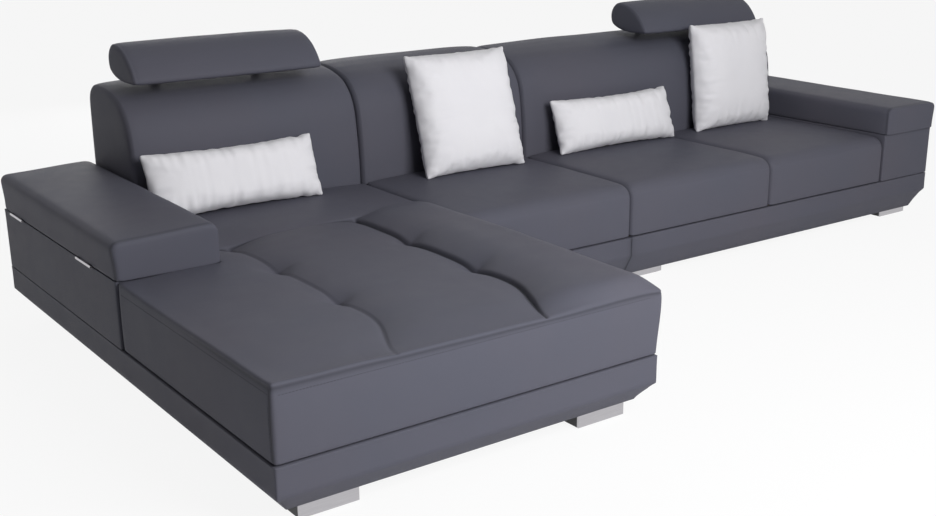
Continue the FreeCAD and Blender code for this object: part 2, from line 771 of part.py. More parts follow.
chaise_form = shaped("chaise_form", chaise_shape())
arm_room = box("arm_room", (f"left_face - {OVER}", "left_arm_inner + seam"), ("sofa_front", "rear"),
               ("0", "back_height"))
chaise_beside_arm = cut("chaise_beside_arm", chaise_form, arm_room)
FOOT_END = (("left_face + foam_wall", "chaise_right - foam_wall"),
            ("front + foam_wall", "sofa_front - foam_wall"))
SEAT_END = (("left_arm_inner + foam_wall", "chaise_right - foam_wall"),
            ("sofa_front - foam_wall", "seat_rear - foam_wall"))
chaise_pockets = fuse("chaise_pockets", [box("chaise_foot_pocket", *FOOT_END, SEAT_POCKET),
                                         box("chaise_back_pocket", *SEAT_END, SEAT_POCKET)])
node(cut("chaise_seat_cushion", chaise_beside_arm, chaise_pockets), "chaise_seat_cushion")
foot_foam = box("chaise_foot_foam", shrunk(FOOT_END[0]), shrunk(FOOT_END[1]), SEAT_FOAM)
seat_foam = box("chaise_back_foam", shrunk(SEAT_END[0]),
                (FOOT_END[1][1] + " - fit", SEAT_END[1][1] + " - fit"), SEAT_FOAM)
node(fuse("chaise_seat_foam", [foot_foam, seat_foam]), "chaise_seat_foam")


# Backs: a padded cover over a foam block and a timber frame that stands on the base

def back_section(x, inset, full_here):
    """One slice of a back: full lower face, then leaning back into a round top."""
    floor = mm("web_top")
    face = mm("back_face") + inset * BACK_SIDE_DRAW
    rear = mm("back_rear") - inset * BACK_SIDE_DRAW
    top = mm("back_height") - inset
    return outline(lambda y, z: Vector(x, y, z), [
        ((rear, floor), 0),
        ((face, floor), 0),
        ((face, mm("seat_height - seat_crown")), mm("back_belly") * (1 + full_here) / 2),
        ((face + mm("back_lean"), top - mm("shoulder_drop")), mm("brow_swell")),
        ((face + mm("brow_deep"), top - mm("brow_drop")), mm("crest_swell")),
        ((rear - mm("rear_round_deep"), top), mm("rear_round_swell")),
        ((rear, top - mm("rear_round_tall")), 0),
    ])


def back_frame(name, inner):
    """Two posts, two rails between them and a board behind, standing on the base rails."""
    outside = shrunk(inner, "post_gap")
    between = shrunk(outside, "rail_thick")
    post = ("frame_face", "rail_rear - back_board_thick")
    rail = ("frame_face", "frame_face + rail_thick")
    tall = ("rail_top", "frame_top")
    mid = "seat_height + mid_rail_rise"
    group(name, [
        box(name + "_left_post", (outside[0], between[0]), post, tall),
        box(name + "_right_post", (between[1], outside[1]), post, tall),
        box(name + "_top_rail", between, rail, ("frame_top - top_rail_tall", "frame_top")),
        box(name + "_mid_rail", between, rail, (mid, mid + " + mid_rail_tall")),
        box(name + "_board", outside, ("rail_rear - back_board_thick", "rail_rear"), tall),
    ])


# Ratchet hinges of a headrest: two knuckled straps and a pin each, at two places

PIVOT = ("pivot_depth", "pivot_height")
ROUND_KNUCKLE = "-head_knuckle - hinge_clear"
STRAP_FACE = ("frame_face - head_strap_thick", "frame_face")


def head_places(start):
    """The two edges of each strap of a headrest that starts at a plane."""
    middles = shrunk((start, f"{start} + head_width"), "head_hinge_inset")
    return [(f"{middle} - head_strap_wide / 2", f"{middle} + head_strap_wide / 2") for middle in middles]


def head_slots(name, start):
    """Openings in the top of a back that its headrest's lower straps come out of."""
    return [box(f"{name}_slot_{n + 1}", shrunk(x, "-seam / 2"), shrunk(STRAP_FACE, "-seam / 2"),
                ("back_foam_top", "pivot_height")) for n, x in enumerate(head_places(start))]


def back(name, x, head_start=None):
    """A back between two planes: cushion, foam block and frame."""
    low, high = [mm(plane) for plane in x]
    form = shaped(name + "_form", loft([back_section(low + step, inset, full_here)
                                        for step, inset, full_here in slices(high - low, 4)]))
    inner = shrunk(x, "back_wall")
    tools = [
        box(name + "_foam_pocket", inner, ("back_face + back_wall", "back_foam_rear"),
            (f"web_top - {OVER}", "back_foam_top + fit")),
        box(name + "_frame_pocket", inner, ("back_foam_rear", "rail_rear + fit"),
            (f"web_top - {OVER}", "frame_top + seam")),
    ]
    if head_start:
        tools += head_slots(name, head_start)
    node(cut(name, form, fuse(name + "_tools", tools)), name)
    foam = name.replace("cushion", "foam")
    node(box(foam, shrunk(inner), ("back_face + back_wall + fit", "back_foam_rear"),
             ("web_top", "back_foam_top")), foam)
    back_frame(name.replace("cushion", "frame"), inner)


back("left_back_cushion", ("left_back_end", "chaise_right - seam / 2"), "left_head_start")
back("middle_back_cushion", ("chaise_right + seam / 2", "left_joint - seam"))
back("right_back_cushion", ("right_joint + seam", "right_back_end"), "right_head_start")


def head_section(x, inset):
    """One slice of a headrest: flat below, bevelled behind, round in front, about its middle."""
    depth = mm("pivot_depth - head_ahead")
    height = mm("pivot_height + head_above")
    scale = 1 - inset / mm("head_nose")
    nose = mm("head_nose")
    under = mm("head_under")
    turn = mm("head_nose_round")
    return outline(lambda y, z: Vector(x, depth + y * scale, height + z * scale), [
        ((mm("head_heel"), -mm("head_heel_drop")), 0),
        ((0, -under), 0),
        ((turn - nose, -under), turn / 4),
        ((-nose, turn - under), mm("head_brow_swell")),
        ((mm("head_crest"), mm("head_top")), mm("head_rear_swell")),
    ])


def headrest(side):
    """A headrest: cushion, board, and at two places a fixed strap, a moving leaf and a pin."""
    name = side + "_headrest"
    start = side + "_head_start"
    wide = mm("head_width")
    form = shaped(name + "_form", loft([head_section(mm(start) + step, inset)
                                        for step, inset, _ in slices(wide, 2)]))
    ends = shrunk((start, f"{start} + head_width"), "head_board_inset")
    depth = ("pivot_depth - head_board_gap - head_board_deep", "pivot_depth - head_board_gap")
    height = ("head_board_bottom", "head_board_bottom + head_board_thick")
    leaf_height = ("head_board_bottom - head_strap_thick", "head_board_bottom")
    leaf_depth = ("pivot_depth - head_leaf_reach", "pivot_depth")
    tools = [box(name + "_pocket", ends, depth, height)]
    lower = []
    upper = []
    pins = []
    for n, x in enumerate(head_places(start)):
        tag = f"{name}_{n + 1}"
        middle = shrunk(x, "head_strap_wide / 3 + fit")
        window = shrunk(x, "head_strap_wide / 3")
        past = shrunk(x, "-hinge_clear")
        strap = box(tag + "_strap", x, STRAP_FACE, ("frame_top - head_strap_reach", "pivot_height"))
        outer_knuckles = rod(tag + "_outer_knuckles", "x", "head_knuckle", x, PIVOT)
        bore = rod(tag + "_bore", "x", "head_pin_radius + pin_fit", past, PIVOT)
        gap = box(tag + "_knuckle_gap", window, shrunk(("pivot_depth", "pivot_depth"), ROUND_KNUCKLE),
                  shrunk(("pivot_height", "pivot_height"), ROUND_KNUCKLE))
        lower.append(cut(tag + "_lower", fuse(tag + "_lower_blank", [strap, outer_knuckles]),
                         together(tag + "_lower_tools", [bore, gap])))
        leaf = box(tag + "_leaf", middle, leaf_depth, leaf_height)
        inner_knuckle = rod(tag + "_inner_knuckle", "x", "head_knuckle", middle, PIVOT)
        upper.append(cut(tag + "_upper", fuse(tag + "_upper_blank", [leaf, inner_knuckle]),
                         rod(tag + "_upper_bore", "x", "head_pin_radius", past, PIVOT)))
        pins.append(rod(tag + "_pin", "x", "head_pin_radius", shrunk(x, "-seam / 2"), PIVOT))
        # room in the cushion for the fixed strap while the headrest tilts, and for the leaf
        tools.append(box(tag + "_notch", past,
                         ("pivot_depth - head_knuckle - 2 * hinge_clear",
                          "pivot_depth + head_strap_wide"),
                         ("back_height", "pivot_height + head_knuckle + hinge_clear")))
        tools.append(box(tag + "_leaf_slot", window, (f"{leaf_depth[0]} - fit", leaf_depth[1]),
                         (leaf_height[0], f"{leaf_height[1]} + fit")))
    node(cut(name + "_cushion", form, fuse(name + "_tools", tools)), name + "_cushion")
    node(box(name + "_board", shrunk(ends), shrunk(depth), height), name + "_board")
    group(name + "_lower_hinges", lower)
    group(name + "_upper_hinges", upper)
    group(name + "_hinge_pins", pins)


headrest("left")
headrest("right")


# Arms: a storage box of boards, a cover round it, and a padded lid hinged at its outer edge

def lid_section(y, low, high, inset):
    """One slice of a lid pad: flat below, round upper corners, slightly full sides and top."""
    bulge = mm("lid_bulge")
    radius = mm("lid_round")
    round_swell = radius * (1 - math.sqrt(0.5))
    low += inset * LID_SIDE_DRAW + bulge
    high -= inset * LID_SIDE_DRAW + bulge
    bottom = mm("lid_bottom")
    top = mm("lid_top") - 2 * bulge - inset
    return outline(lambda x, z: Vector(x, y, z), [
        ((high, bottom), 0),
        ((low, bottom), bulge),
        ((low, top - radius), round_swell),
        ((low + radius, top), 2 * bulge),
        ((high - radius, top), round_swell),
        ((high, top - radius), bulge),
    ])


def arm(side):
    """One arm. Its outer side is the left one for the left arm, and the right one for the right arm."""
    left_arm = side == "left"
    outer = side + "_face"
    inwards = "+" if left_arm else "-"

    def across(near, far):
        """Two planes measured inward from the outer face, the lower one first."""
        planes = (f"{outer} {inwards} ({near})", f"{outer} {inwards} ({far})")
        return planes if left_arm else planes[::-1]

    inside = ("box_front", "box_rear")
    cover_blank = box(side + "_arm_cover_blank", across("0", "arm_width"), ("arm_front", "arm_rear"),
                      ("base_top + seam", "box_top"))
    cover_room = box(side + "_arm_cover_room", across("arm_skin", "arm_width - arm_skin"), inside,
                     ("0", f"box_top + {OVER}"))
    node(cut(side + "_arm_cover", cover_blank, cover_room), side + "_arm_cover")
    tall = ("rail_top + box_floor_thick", "box_top")
    outer_wall = across("arm_skin", "arm_skin + box_board")
    inner_wall = across("arm_width - arm_skin - box_board", "arm_width - arm_skin")
    between = across("arm_skin + box_board", "arm_width - arm_skin - box_board")
    group(side + "_arm_box_boards", [
        box(side + "_box_floor", across("arm_skin", "arm_width - arm_skin"), inside,
            ("rail_top", tall[0])),
        box(side + "_box_outer", outer_wall, inside, tall),
        box(side + "_box_inner", inner_wall, inside, tall),
        box(side + "_box_front", between, ("box_front", "box_front + box_board"), tall),
        box(side + "_box_rear", between, ("box_rear - box_board", "box_rear"), tall),
    ])
    low, high = [mm(plane) for plane in across("0", "arm_width + lid_overhang")]
    start = mm("lid_front")
    form = shaped(side + "_lid_form", loft([lid_section(start + step, low, high, inset)
                                            for step, inset, _ in slices(mm("arm_rear") - start, 2)]))
    board_x = across("lid_board_inset", "arm_width - lid_board_inset")
    board_y = shrunk(("lid_front", "arm_rear"), "lid_board_inset")
    board_top = "lid_bottom + lid_board_thick"
    pocket = box(side + "_lid_pocket", board_x, board_y, (f"lid_bottom - {OVER}", board_top))
    node(cut(side + "_lid_pad", form, pocket), side + "_lid_pad")
    board = box(side + "_lid_board", shrunk(board_x), shrunk(board_y), ("lid_bottom", board_top))
    node(board, side + "_lid_board")
    # hinges: barrel just outside the outer face, leaves in the gap under the lid
    pivot = (f"{outer} {'-' if left_arm else '+'} barrel", "box_top + barrel")
    leaf_x = across("-barrel", "lid_leaf_wide")
    fixed = []
    moving = []
    pins = []
    starts = ("arm_front + lid_hinge_front", "arm_rear - lid_hinge_rear - lid_hinge_length")
    for n, near in enumerate(starts):
        tag = f"{side}_lid_hinge_{n + 1}"
        length = (near, f"{near} + lid_hinge_length")
        middle = shrunk(length, "lid_hinge_length / 4")
        past = shrunk(length, f"-{OVER}")
        fixed_leaf = box(tag + "_fixed_leaf", leaf_x, length, ("box_top", "box_top + lid_leaf_thick"))
        outer_barrels = rod(tag + "_outer_barrels", "y", "barrel", length, pivot)
        bore = rod(tag + "_bore", "y", "lid_pin_radius + pin_fit", past, pivot)
        window = box(tag + "_window", across("-2 * barrel - seam", "fit"), shrunk(middle, "-fit"),
                     (f"box_top - {OVER}", f"lid_bottom + {OVER}"))
        fixed.append(cut(tag + "_fixed", fuse(tag + "_fixed_blank", [fixed_leaf, outer_barrels]),
                         together(tag + "_fixed_tools", [bore, window])))
        moving_leaf = box(tag + "_moving_leaf", leaf_x, middle,
                          ("lid_bottom - lid_leaf_thick", "lid_bottom"))
        middle_barrel = rod(tag + "_middle_barrel", "y", "barrel", middle, pivot)
        moving.append(cut(tag + "_moving", fuse(tag + "_moving_blank", [moving_leaf, middle_barrel]),
                          rod(tag + "_moving_bore", "y", "lid_pin_radius", past, pivot)))
        pins.append(rod(tag + "_pin", "y", "lid_pin_radius", length, pivot))
    group(side + "_lid_hinge_lower_leaves", fixed)
    group(side + "_lid_hinge_upper_leaves", moving)
    group(side + "_lid_hinge_pins", pins)


arm("left")
arm("right")
doc.recompute()


# Scatter cushions: full in the middle, drawn in between pinched corners

PILLOW_TURNS = (-76, -60, -42, -22, 0, 22, 42, 60, 76)
PILLOW_TAPER = 0.55
FACE_BOW = 0.05
SEAM_PULL = 0.085


def pillow_shape(wide, tall, thick):
    """A cushion about its middle: width along X, height along Z, thickness along Y."""
    rings = []
    for turn in PILLOW_TURNS:
        angle = math.radians(turn)
        scale = math.cos(angle) ** PILLOW_TAPER
        offset = thick / 2 * math.sin(angle) / math.sin(math.radians(PILLOW_TURNS[-1]))
        swell = (FACE_BOW - SEAM_PULL * math.cos(angle) ** 4) * min(wide, tall)
        a = wide / 2 * scale
        b = tall / 2 * scale
        corners = [(a, -b), (-a, -b), (-a, b), (a, b)]
        rings.append(outline(lambda x, z: Vector(x, offset, z), [(corner, swell) for corner in corners]))
    return loft(rings)


def pillow(name, kind, middle, lean, seat_name, back_name):
    """A loose cushion that stands on a seat and leans on the back behind it."""
    carriers = [(doc.getObject(seat_name), Vector(0, 0, -1)),
                (doc.getObject(back_name), Vector(0, 1, 0))]
    wide, tall, thick = [mm(f"{kind}_{side}") for side in ("wide", "tall", "thick")]
    item = shaped(name, pillow_shape(wide, tall, thick))
    turn = Rotation(Vector(1, 0, 0), -mm(lean))
    place = Vector(mm(middle), mm("back_face") - thick, mm("seat_height + seat_crown") + tall / 2)
    item.Placement = Placement(place, turn)
    for carrier, towards in carriers * 3:
        gap = item.Shape.distToShape(carrier.Shape)[0]
        place = place + towards * (gap - mm("pillow_clear"))
        item.Placement = Placement(place, turn)
    gaps = [round(item.Shape.distToShape(carrier.Shape)[0], 2) for carrier, _ in carriers]
    print(name, "is clear of its seat and its back by", gaps)
    return node(item, name)


pillow("left_long_pillow", "long_pillow", "left_arm_inner + left_long_gap + long_pillow_wide / 2",
       "long_pillow_lean", "chaise_seat_cushion", "left_back_cushion")
pillow("left_square_pillow", "square_pillow", "(chaise_right + left_joint) / 2 + left_square_offset",
       "square_pillow_lean", "middle_seat_cushion", "middle_back_cushion")
pillow("right_long_pillow", "long_pillow", "(right_joint + seat_split) / 2 + right_long_offset",
       "long_pillow_lean", "inner_right_seat_cushion", "right_back_cushion")
pillow("right_square_pillow", "square_pillow", "(seat_split + right_arm_inner) / 2",
       "upright_pillow_lean", "outer_right_seat_cushion", "right_back_cushion")

# Check every object before any file is written
doc.recompute()
faults = [item.Label for item in doc.Objects if "Invalid" in item.State or "Error" in item.State]
for item in NODES:
    if item.Shape.isNull() or not item.Shape.isValid() or not item.Shape.Solids:
        faults.append(item.Label)
if faults:
    raise RuntimeError("failed: " + ", ".join(sorted(set(faults))))
os.makedirs("parts", exist_ok=True)
for item in NODES:
    item.Shape.exportStep(f"parts/{item.Label}.step")
print(len(NODES), "nodes")
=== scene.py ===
# %% [markdown]
# # A sectional sofa, dressed in leather
#
# The sofa's engineering model gives every part its size, its place and the body that it moves with.
# This lesson loads that model as a fixed frame, and dresses it: soft leather forms take the place of
# the plain padded ones, and the timber, steel and webbing get their finishes.

# %% The fixed frame
import math

import bmesh
import bpy
from mathutils import Matrix, Vector, noise


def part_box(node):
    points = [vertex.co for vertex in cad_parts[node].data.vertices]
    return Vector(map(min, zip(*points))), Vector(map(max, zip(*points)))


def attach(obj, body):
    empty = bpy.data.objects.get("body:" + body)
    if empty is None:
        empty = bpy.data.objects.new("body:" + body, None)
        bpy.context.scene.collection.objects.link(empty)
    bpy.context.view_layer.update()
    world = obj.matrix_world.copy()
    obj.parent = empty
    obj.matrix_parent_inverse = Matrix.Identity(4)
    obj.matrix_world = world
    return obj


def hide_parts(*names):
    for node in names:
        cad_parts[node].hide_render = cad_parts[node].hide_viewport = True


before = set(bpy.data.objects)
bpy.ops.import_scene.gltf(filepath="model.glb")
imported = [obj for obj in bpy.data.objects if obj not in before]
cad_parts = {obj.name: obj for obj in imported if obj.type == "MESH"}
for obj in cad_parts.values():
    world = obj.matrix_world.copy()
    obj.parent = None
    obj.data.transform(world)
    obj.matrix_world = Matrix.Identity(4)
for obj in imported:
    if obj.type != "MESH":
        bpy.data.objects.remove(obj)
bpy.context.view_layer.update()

# %% [markdown]
# ## The camera and the light
#
# The photograph was taken from the front left, a little above the backs. The camera stands where the
# straight edges of the base, the lids and the seats say that it stood. The light is a wide soft lamp in
# front, a weaker one behind, and a pale room that is dimmer on the left. So the left side of the chaise
# stays darkest.

# %% Camera
SENSOR_WIDE = 36
PHOTO_WIDE = 936
PHOTO_TALL = 516
FOCAL_PIXELS = 1251.75
OPTICAL_CENTRE = (469.92, 281.96)
CAMERA_PLACE = Vector((-2.87415, -3.19532, 1.38888))
YAW = 0.621
PITCH = 0.30977
ROLL = -0.00853

lens = bpy.data.cameras.new("photo_camera")
lens.sensor_width = SENSOR_WIDE
lens.lens = FOCAL_PIXELS / PHOTO_WIDE * SENSOR_WIDE
lens.shift_x = (PHOTO_WIDE / 2 - OPTICAL_CENTRE[0]) / PHOTO_WIDE
lens.shift_y = (OPTICAL_CENTRE[1] - PHOTO_TALL / 2) / PHOTO_WIDE
camera = bpy.data.objects.new("photo_camera", lens)
bpy.context.scene.collection.objects.link(camera)
bpy.context.scene.camera = camera
forward = Vector((math.sin(YAW) * math.cos(PITCH), math.cos(YAW) * math.cos(PITCH), -math.sin(PITCH)))
level = Vector((math.cos(YAW), -math.sin(YAW), 0))
upward = level.cross(forward)
right = level * math.cos(ROLL) + upward * math.sin(ROLL)
above = upward * math.cos(ROLL) - level * math.sin(ROLL)
turn = Matrix((right, above, -forward)).transposed().to_4x4()
camera.matrix_world = Matrix.Translation(CAMERA_PLACE) @ turn
print("the lens is", round(lens.lens, 2), "mm long")

# %% [markdown]
# ## Node helpers
#
# The room and the finishes are built from shader nodes. These helpers place a node and wire it up, so
# that each of them reads as a short list.

# %% Node helpers


def link(tree, start, end):
    tree.links.new(start, end)


def put(tree, kind, settings=(), **inputs):
    """A node with its settings and inputs: an input is a value, or another node's output."""
    node = tree.nodes.new("ShaderNode" + kind)
    for name, value in dict(settings).items():
        setattr(node, name, value)
    for name, value in inputs.items():
        key = int(name[1:]) if name[1:].isdigit() else name.replace("_", " ")
        if isinstance(value, bpy.types.NodeSocket):
            link(tree, value, node.inputs[key])
        else:
            node.inputs[key].default_value = value
    return node


def calc(tree, operation, first, second=0.0):
    return put(tree, "Math", {"operation": operation}, i0=first, i1=second).outputs[0]


def blend_colour(tree, share, first, second):
    return put(tree, "Mix", {"data_type": "RGBA"}, i0=share, i6=first, i7=second).outputs[2]


def finish(name, **sockets):
    """A new material, its tree and its shader, with plain values on the shader's own sockets."""
    material = bpy.data.materials.new(name)
    material.use_nodes = True
    tree = material.node_tree
    shader = tree.nodes["Principled BSDF"]
    for label, value in sockets.items():
        shader.inputs[label.replace("_", " ")].default_value = value
    return material, tree, shader


def seen_directly(tree):
    """One for camera, mirror and glass rays, and nought for the light that falls on surfaces."""
    path = put(tree, "LightPath")
    total = path.outputs["Is Camera Ray"]
    for ray in ("Is Glossy Ray", "Is Transmission Ray"):
        total = calc(tree, "MAXIMUM", total, path.outputs[ray])
    return total


# %% Lamps
bpy.context.scene.view_settings.view_transform = "Standard"


def lamp(name, place, target, energy, size):
    """A square soft lamp that looks at a target."""
    data = bpy.data.lights.new(name, "AREA")
    data.energy = energy
    data.shape = "RECTANGLE"
    data.size = size
    data.size_y = size
    item = bpy.data.objects.new(name, data)
    item.location = place
    item.rotation_euler = (Vector(target) - Vector(place)).to_track_quat("-Z", "Y").to_euler()
    bpy.context.scene.collection.objects.link(item)
    print(name, "gives", energy, "watts")


lamp("front_softbox", (-0.5, -3.3, 2.1), (-0.4, 0, 0.3), energy=118, size=1.8)
lamp("rear_softbox", (0.6, 4.6, 1.6), (0, 0.6, 0.5), energy=26, size=2.2)

# %% Room and floor
ROOM_LIGHT = 0.20
LEFT_SHARE = 0.45
FLOOR_SIZE = 60
FLOOR_GLOW = 0.9
WHITE = (1, 1, 1, 1)

room = bpy.data.worlds.new("pale_room")
bpy.context.scene.world = room
room.use_nodes = True
tree = room.node_tree
side_of_room = put(tree, "SeparateXYZ", Vector=put(tree, "TexCoord").outputs["Generated"])
spread = put(tree, "MapRange", Value=side_of_room.outputs["X"], From_Min=-1.0,
             To_Min=ROOM_LIGHT * LEFT_SHARE, To_Max=ROOM_LIGHT * (2 - LEFT_SHARE))
strength = put(tree, "MapRange", Value=seen_directly(tree), To_Min=spread.outputs["Result"], To_Max=1.0)
sky = next(n for n in tree.nodes if n.type == "BACKGROUND")
sky.inputs["Color"].default_value = WHITE
link(tree, strength.outputs["Result"], sky.inputs["Strength"])

bpy.ops.mesh.primitive_plane_add(size=FLOOR_SIZE, location=(0, 0, 0))
floor = bpy.context.object
floor.name = "studio_floor"
paint, tree, matt = finish("studio_floor", Base_Color=(0.86, 0.86, 0.87, 1), Roughness=0.9,
                           Specular_IOR_Level=0.1)
share = calc(tree, "MULTIPLY", seen_directly(tree), FLOOR_GLOW)
glow = put(tree, "Emission", Color=WHITE)
mix = put(tree, "MixShader", i0=share, i1=matt.outputs[0], i2=glow.outputs[0])
link(tree, mix.outputs[0], tree.nodes["Material Output"].inputs["Surface"])
floor.data.materials.append(paint)
print("the room is lit")

# %% [markdown]
# ## Finishes
#
# The cover is a smooth faux leather in slate grey: a fine pebble grain that only close views show, a
# satin gloss, and a colour that drifts a little between blue and violet. Effects that several finishes
# share are node groups, built once. Each group puts out masks or heights, and each material keeps its
# own shader.

# %% Node groups
NUMBER = "NodeSocketFloat"
FINE_RATIO = 9.0
CELL_WOBBLE = (0.006, 0.006, 0.006)
THREAD_RISE = 0.25


def group(name, inputs, outputs):
    """A node group with named sockets, and its two end nodes."""
    tree = bpy.data.node_groups.new(name, "ShaderNodeTree")
    for label, kind, value in inputs:
        tree.interface.new_socket(label, in_out="INPUT", socket_type=kind).default_value = value
    for label, kind in outputs:
        tree.interface.new_socket(label, in_out="OUTPUT", socket_type=kind)
    return tree, tree.nodes.new("NodeGroupInput"), tree.nodes.new("NodeGroupOutput")


# drift: a slow change of tone over a surface
drift, start, end = group("tone_drift", [("Scale", NUMBER, 3.0)], [("Mask", NUMBER), ("Fine", NUMBER)])
spot = put(drift, "TexCoord").outputs["Object"]
slow = put(drift, "TexNoise", Vector=spot, Scale=start.outputs["Scale"], Detail=3.0, Roughness=0.5)
fast_scale = calc(drift, "MULTIPLY", start.outputs["Scale"], FINE_RATIO)
fast = put(drift, "TexNoise", Vector=spot, Scale=fast_scale, Detail=4.0, Roughness=0.6)
link(drift, slow.outputs["Fac"], end.inputs["Mask"])
link(drift, fast.outputs["Fac"], end.inputs["Fine"])

# pebbles: small raised cells with creases between them
pebbles, start, end = group("pebble_grain", [("Scale", NUMBER, 420.0)], [("Height", NUMBER)])
spot = put(pebbles, "TexCoord").outputs["Object"]
wobble = put(pebbles, "TexNoise", Vector=spot, Scale=60.0, Detail=2.0)
shifted = put(pebbles, "VectorMath", {"operation": "MULTIPLY_ADD"}, i0=wobble.outputs["Color"],
              i1=CELL_WOBBLE, i2=spot)
cells = put(pebbles, "TexVoronoi", {"feature": "DISTANCE_TO_EDGE"}, Vector=shifted.outputs[0],
            Scale=start.outputs["Scale"])
dome = put(pebbles, "MapRange", {"interpolation_type": "SMOOTHSTEP"}, Value=cells.outputs["Distance"],
           From_Max=0.22)
link(pebbles, dome.outputs["Result"], end.inputs["Height"])

# weave: threads over and under each other
weave, start, end = group("plain_weave", [("Scale", NUMBER, 700.0)], [("Height", NUMBER)])
spot = put(weave, "TexCoord").outputs["Object"]
parts = put(weave, "SeparateXYZ", Vector=spot)
waves = [calc(weave, "SINE", calc(weave, "MULTIPLY", parts.outputs[axis], start.outputs["Scale"]))
         for axis in range(3)]
crossed = calc(weave, "MULTIPLY", waves[0], calc(weave, "ADD", waves[1], waves[2]))
link(weave, calc(weave, "MULTIPLY_ADD", crossed, THREAD_RISE), end.inputs["Height"])

# streaks: fine parallel lines, as brushing or wood grain leaves them
streaks, start, end = group("streaks", [("Across", NUMBER, 900.0), ("Along", NUMBER, 12.0)],
                            [("Fac", NUMBER)])
spot = put(streaks, "TexCoord").outputs["Object"]
parts = put(streaks, "SeparateXYZ", Vector=spot)
squeezed = put(streaks, "CombineXYZ",
               X=calc(streaks, "MULTIPLY", parts.outputs[0], start.outputs["Along"]),
               Y=calc(streaks, "MULTIPLY", parts.outputs[1], start.outputs["Across"]),
               Z=calc(streaks, "MULTIPLY", parts.outputs[2], start.outputs["Across"]))
lines = put(streaks, "TexNoise", Vector=squeezed.outputs[0], Scale=1.0, Detail=3.0)
link(streaks, lines.outputs["Fac"], end.inputs["Fac"])
print("node groups:", [g.name for g in bpy.data.node_groups])

# %% Leather
WORN_SHARE = 0.12
WORN_LIGHTER = 1.5


def use(tree, effect, **inputs):
    """A node group placed in a material with its own values."""
    node = tree.nodes.new("ShaderNodeGroup")
    node.node_tree = effect
    for label, value in inputs.items():
        node.inputs[label].default_value = value
    return node


def bump(tree, shader, height, depth, strength=1.0):
    node = put(tree, "Bump", Height=height, Distance=depth, Strength=strength)
    link(tree, node.outputs[0], shader.inputs["Normal"])


def leather(name, blue, violet, seam_shade_colour):
    """Satin faux leather: pebble grain, drifting tone, and painted shade where a piece marks its seams.
    """
    material, tree, shader = finish(name, Roughness=0.52, Specular_IOR_Level=0.07)
    tone = use(tree, drift, Scale=2.2)
    grain = use(tree, pebbles, Scale=520.0)
    base = blend_colour(tree, tone.outputs["Mask"], blue, violet)
    worn = blend_colour(tree, calc(tree, "MULTIPLY", tone.outputs["Fine"], WORN_SHARE), base,
                        [c * WORN_LIGHTER for c in blue[:3]] + [1])
    # painted shade: where a piece marks its seams, the colour darkens towards the seam shade
    seam = put(tree, "Attribute", {"attribute_name": "seam"}).outputs["Fac"]
    dark = blend_colour(tree, seam, worn, seam_shade_colour)
    link(tree, dark, shader.inputs["Base Color"])
    rough = put(tree, "MapRange", Value=tone.outputs["Fine"], To_Min=0.44, To_Max=0.60)
    link(tree, rough.outputs["Result"], shader.inputs["Roughness"])
    bump(tree, shader, grain.outputs["Height"], depth=0.00025, strength=0.5)
    return material


SLATE_BLUE = (0.089, 0.094, 0.122, 1)
SLATE_VIOLET = (0.108, 0.102, 0.124, 1)
# painted shade: the colour that marked seams take, in place of the shade in their grooves
PAINTED_SEAM_SHADE = (0.035, 0.036, 0.045, 1)
slate_leather = leather("slate_leather", SLATE_BLUE, SLATE_VIOLET, PAINTED_SEAM_SHADE)
print("made", slate_leather.name)

# %% [markdown]
# The scatter cushions are matt cotton with a plain weave. The feet and the hinges of the lids are brushed
# steel, with fine lines along them, and the fittings of the headrests a darker steel. What is hidden
# inside gets simple finishes: sawn timber, webbing, felt and foam.

# %% Cotton, steel, timber and cloth
cotton, tree, shader = finish("pale_cotton", Roughness=0.85, Specular_IOR_Level=0.2, Sheen_Weight=0.25,
                              Sheen_Roughness=0.5)
tone = use(tree, drift, Scale=7.0)
pale = blend_colour(tree, tone.outputs["Mask"], (0.84, 0.83, 0.87, 1), (0.90, 0.89, 0.92, 1))
link(tree, pale, shader.inputs["Base Color"])
bump(tree, shader, use(tree, weave, Scale=2400.0).outputs["Height"], depth=0.0003, strength=0.5)

steel, tree, shader = finish("brushed_steel", Metallic=1.0, Roughness=0.3)
brush = use(tree, streaks, Across=1500.0, Along=18.0)
bright = blend_colour(tree, brush.outputs["Fac"], (0.38, 0.37, 0.39, 1), (0.58, 0.57, 0.59, 1))
link(tree, bright, shader.inputs["Base Color"])
rough = put(tree, "MapRange", Value=brush.outputs["Fac"], To_Min=0.22, To_Max=0.42)
link(tree, rough.outputs["Result"], shader.inputs["Roughness"])
bump(tree, shader, brush.outputs["Fac"], depth=0.0001, strength=0.4)

hinge_steel, tree, shader = finish("dark_steel", Metallic=1.0, Roughness=0.4)
tone = use(tree, drift, Scale=40.0)
link(tree, blend_colour(tree, tone.outputs["Mask"], (0.07, 0.07, 0.08, 1), (0.14, 0.14, 0.15, 1)),
     shader.inputs["Base Color"])


def timber(name, light, dark):
    """Sawn timber, whose grain runs along the first axis."""
    material, tree, shader = finish(name, Roughness=0.6)
    rings = use(tree, streaks, Across=90.0, Along=3.0)
    link(tree, blend_colour(tree, rings.outputs["Fac"], light, dark), shader.inputs["Base Color"])
    bump(tree, shader, rings.outputs["Fac"], depth=0.0004, strength=0.5)
    return material


board_timber = timber("frame_timber", (0.62, 0.46, 0.28, 1), (0.42, 0.28, 0.15, 1))
black_timber = timber("black_stained_timber", (0.055, 0.055, 0.06, 1), (0.03, 0.03, 0.034, 1))

CLOTH_LIGHTER = 1.3


def cloth(name, colour, scale, depth):
    """A matt cloth or foam, with a lighter drift of tone and a weave of its own fineness."""
    material, tree, shader = finish(name, Roughness=0.9, Specular_IOR_Level=0.15)
    tone = use(tree, drift, Scale=12.0)
    light = [min(1, c * CLOTH_LIGHTER) for c in colour[:3]] + [1]
    link(tree, blend_colour(tree, tone.outputs["Mask"], colour, light), shader.inputs["Base Color"])
    bump(tree, shader, use(tree, weave, Scale=scale).outputs["Height"], depth)
    return material


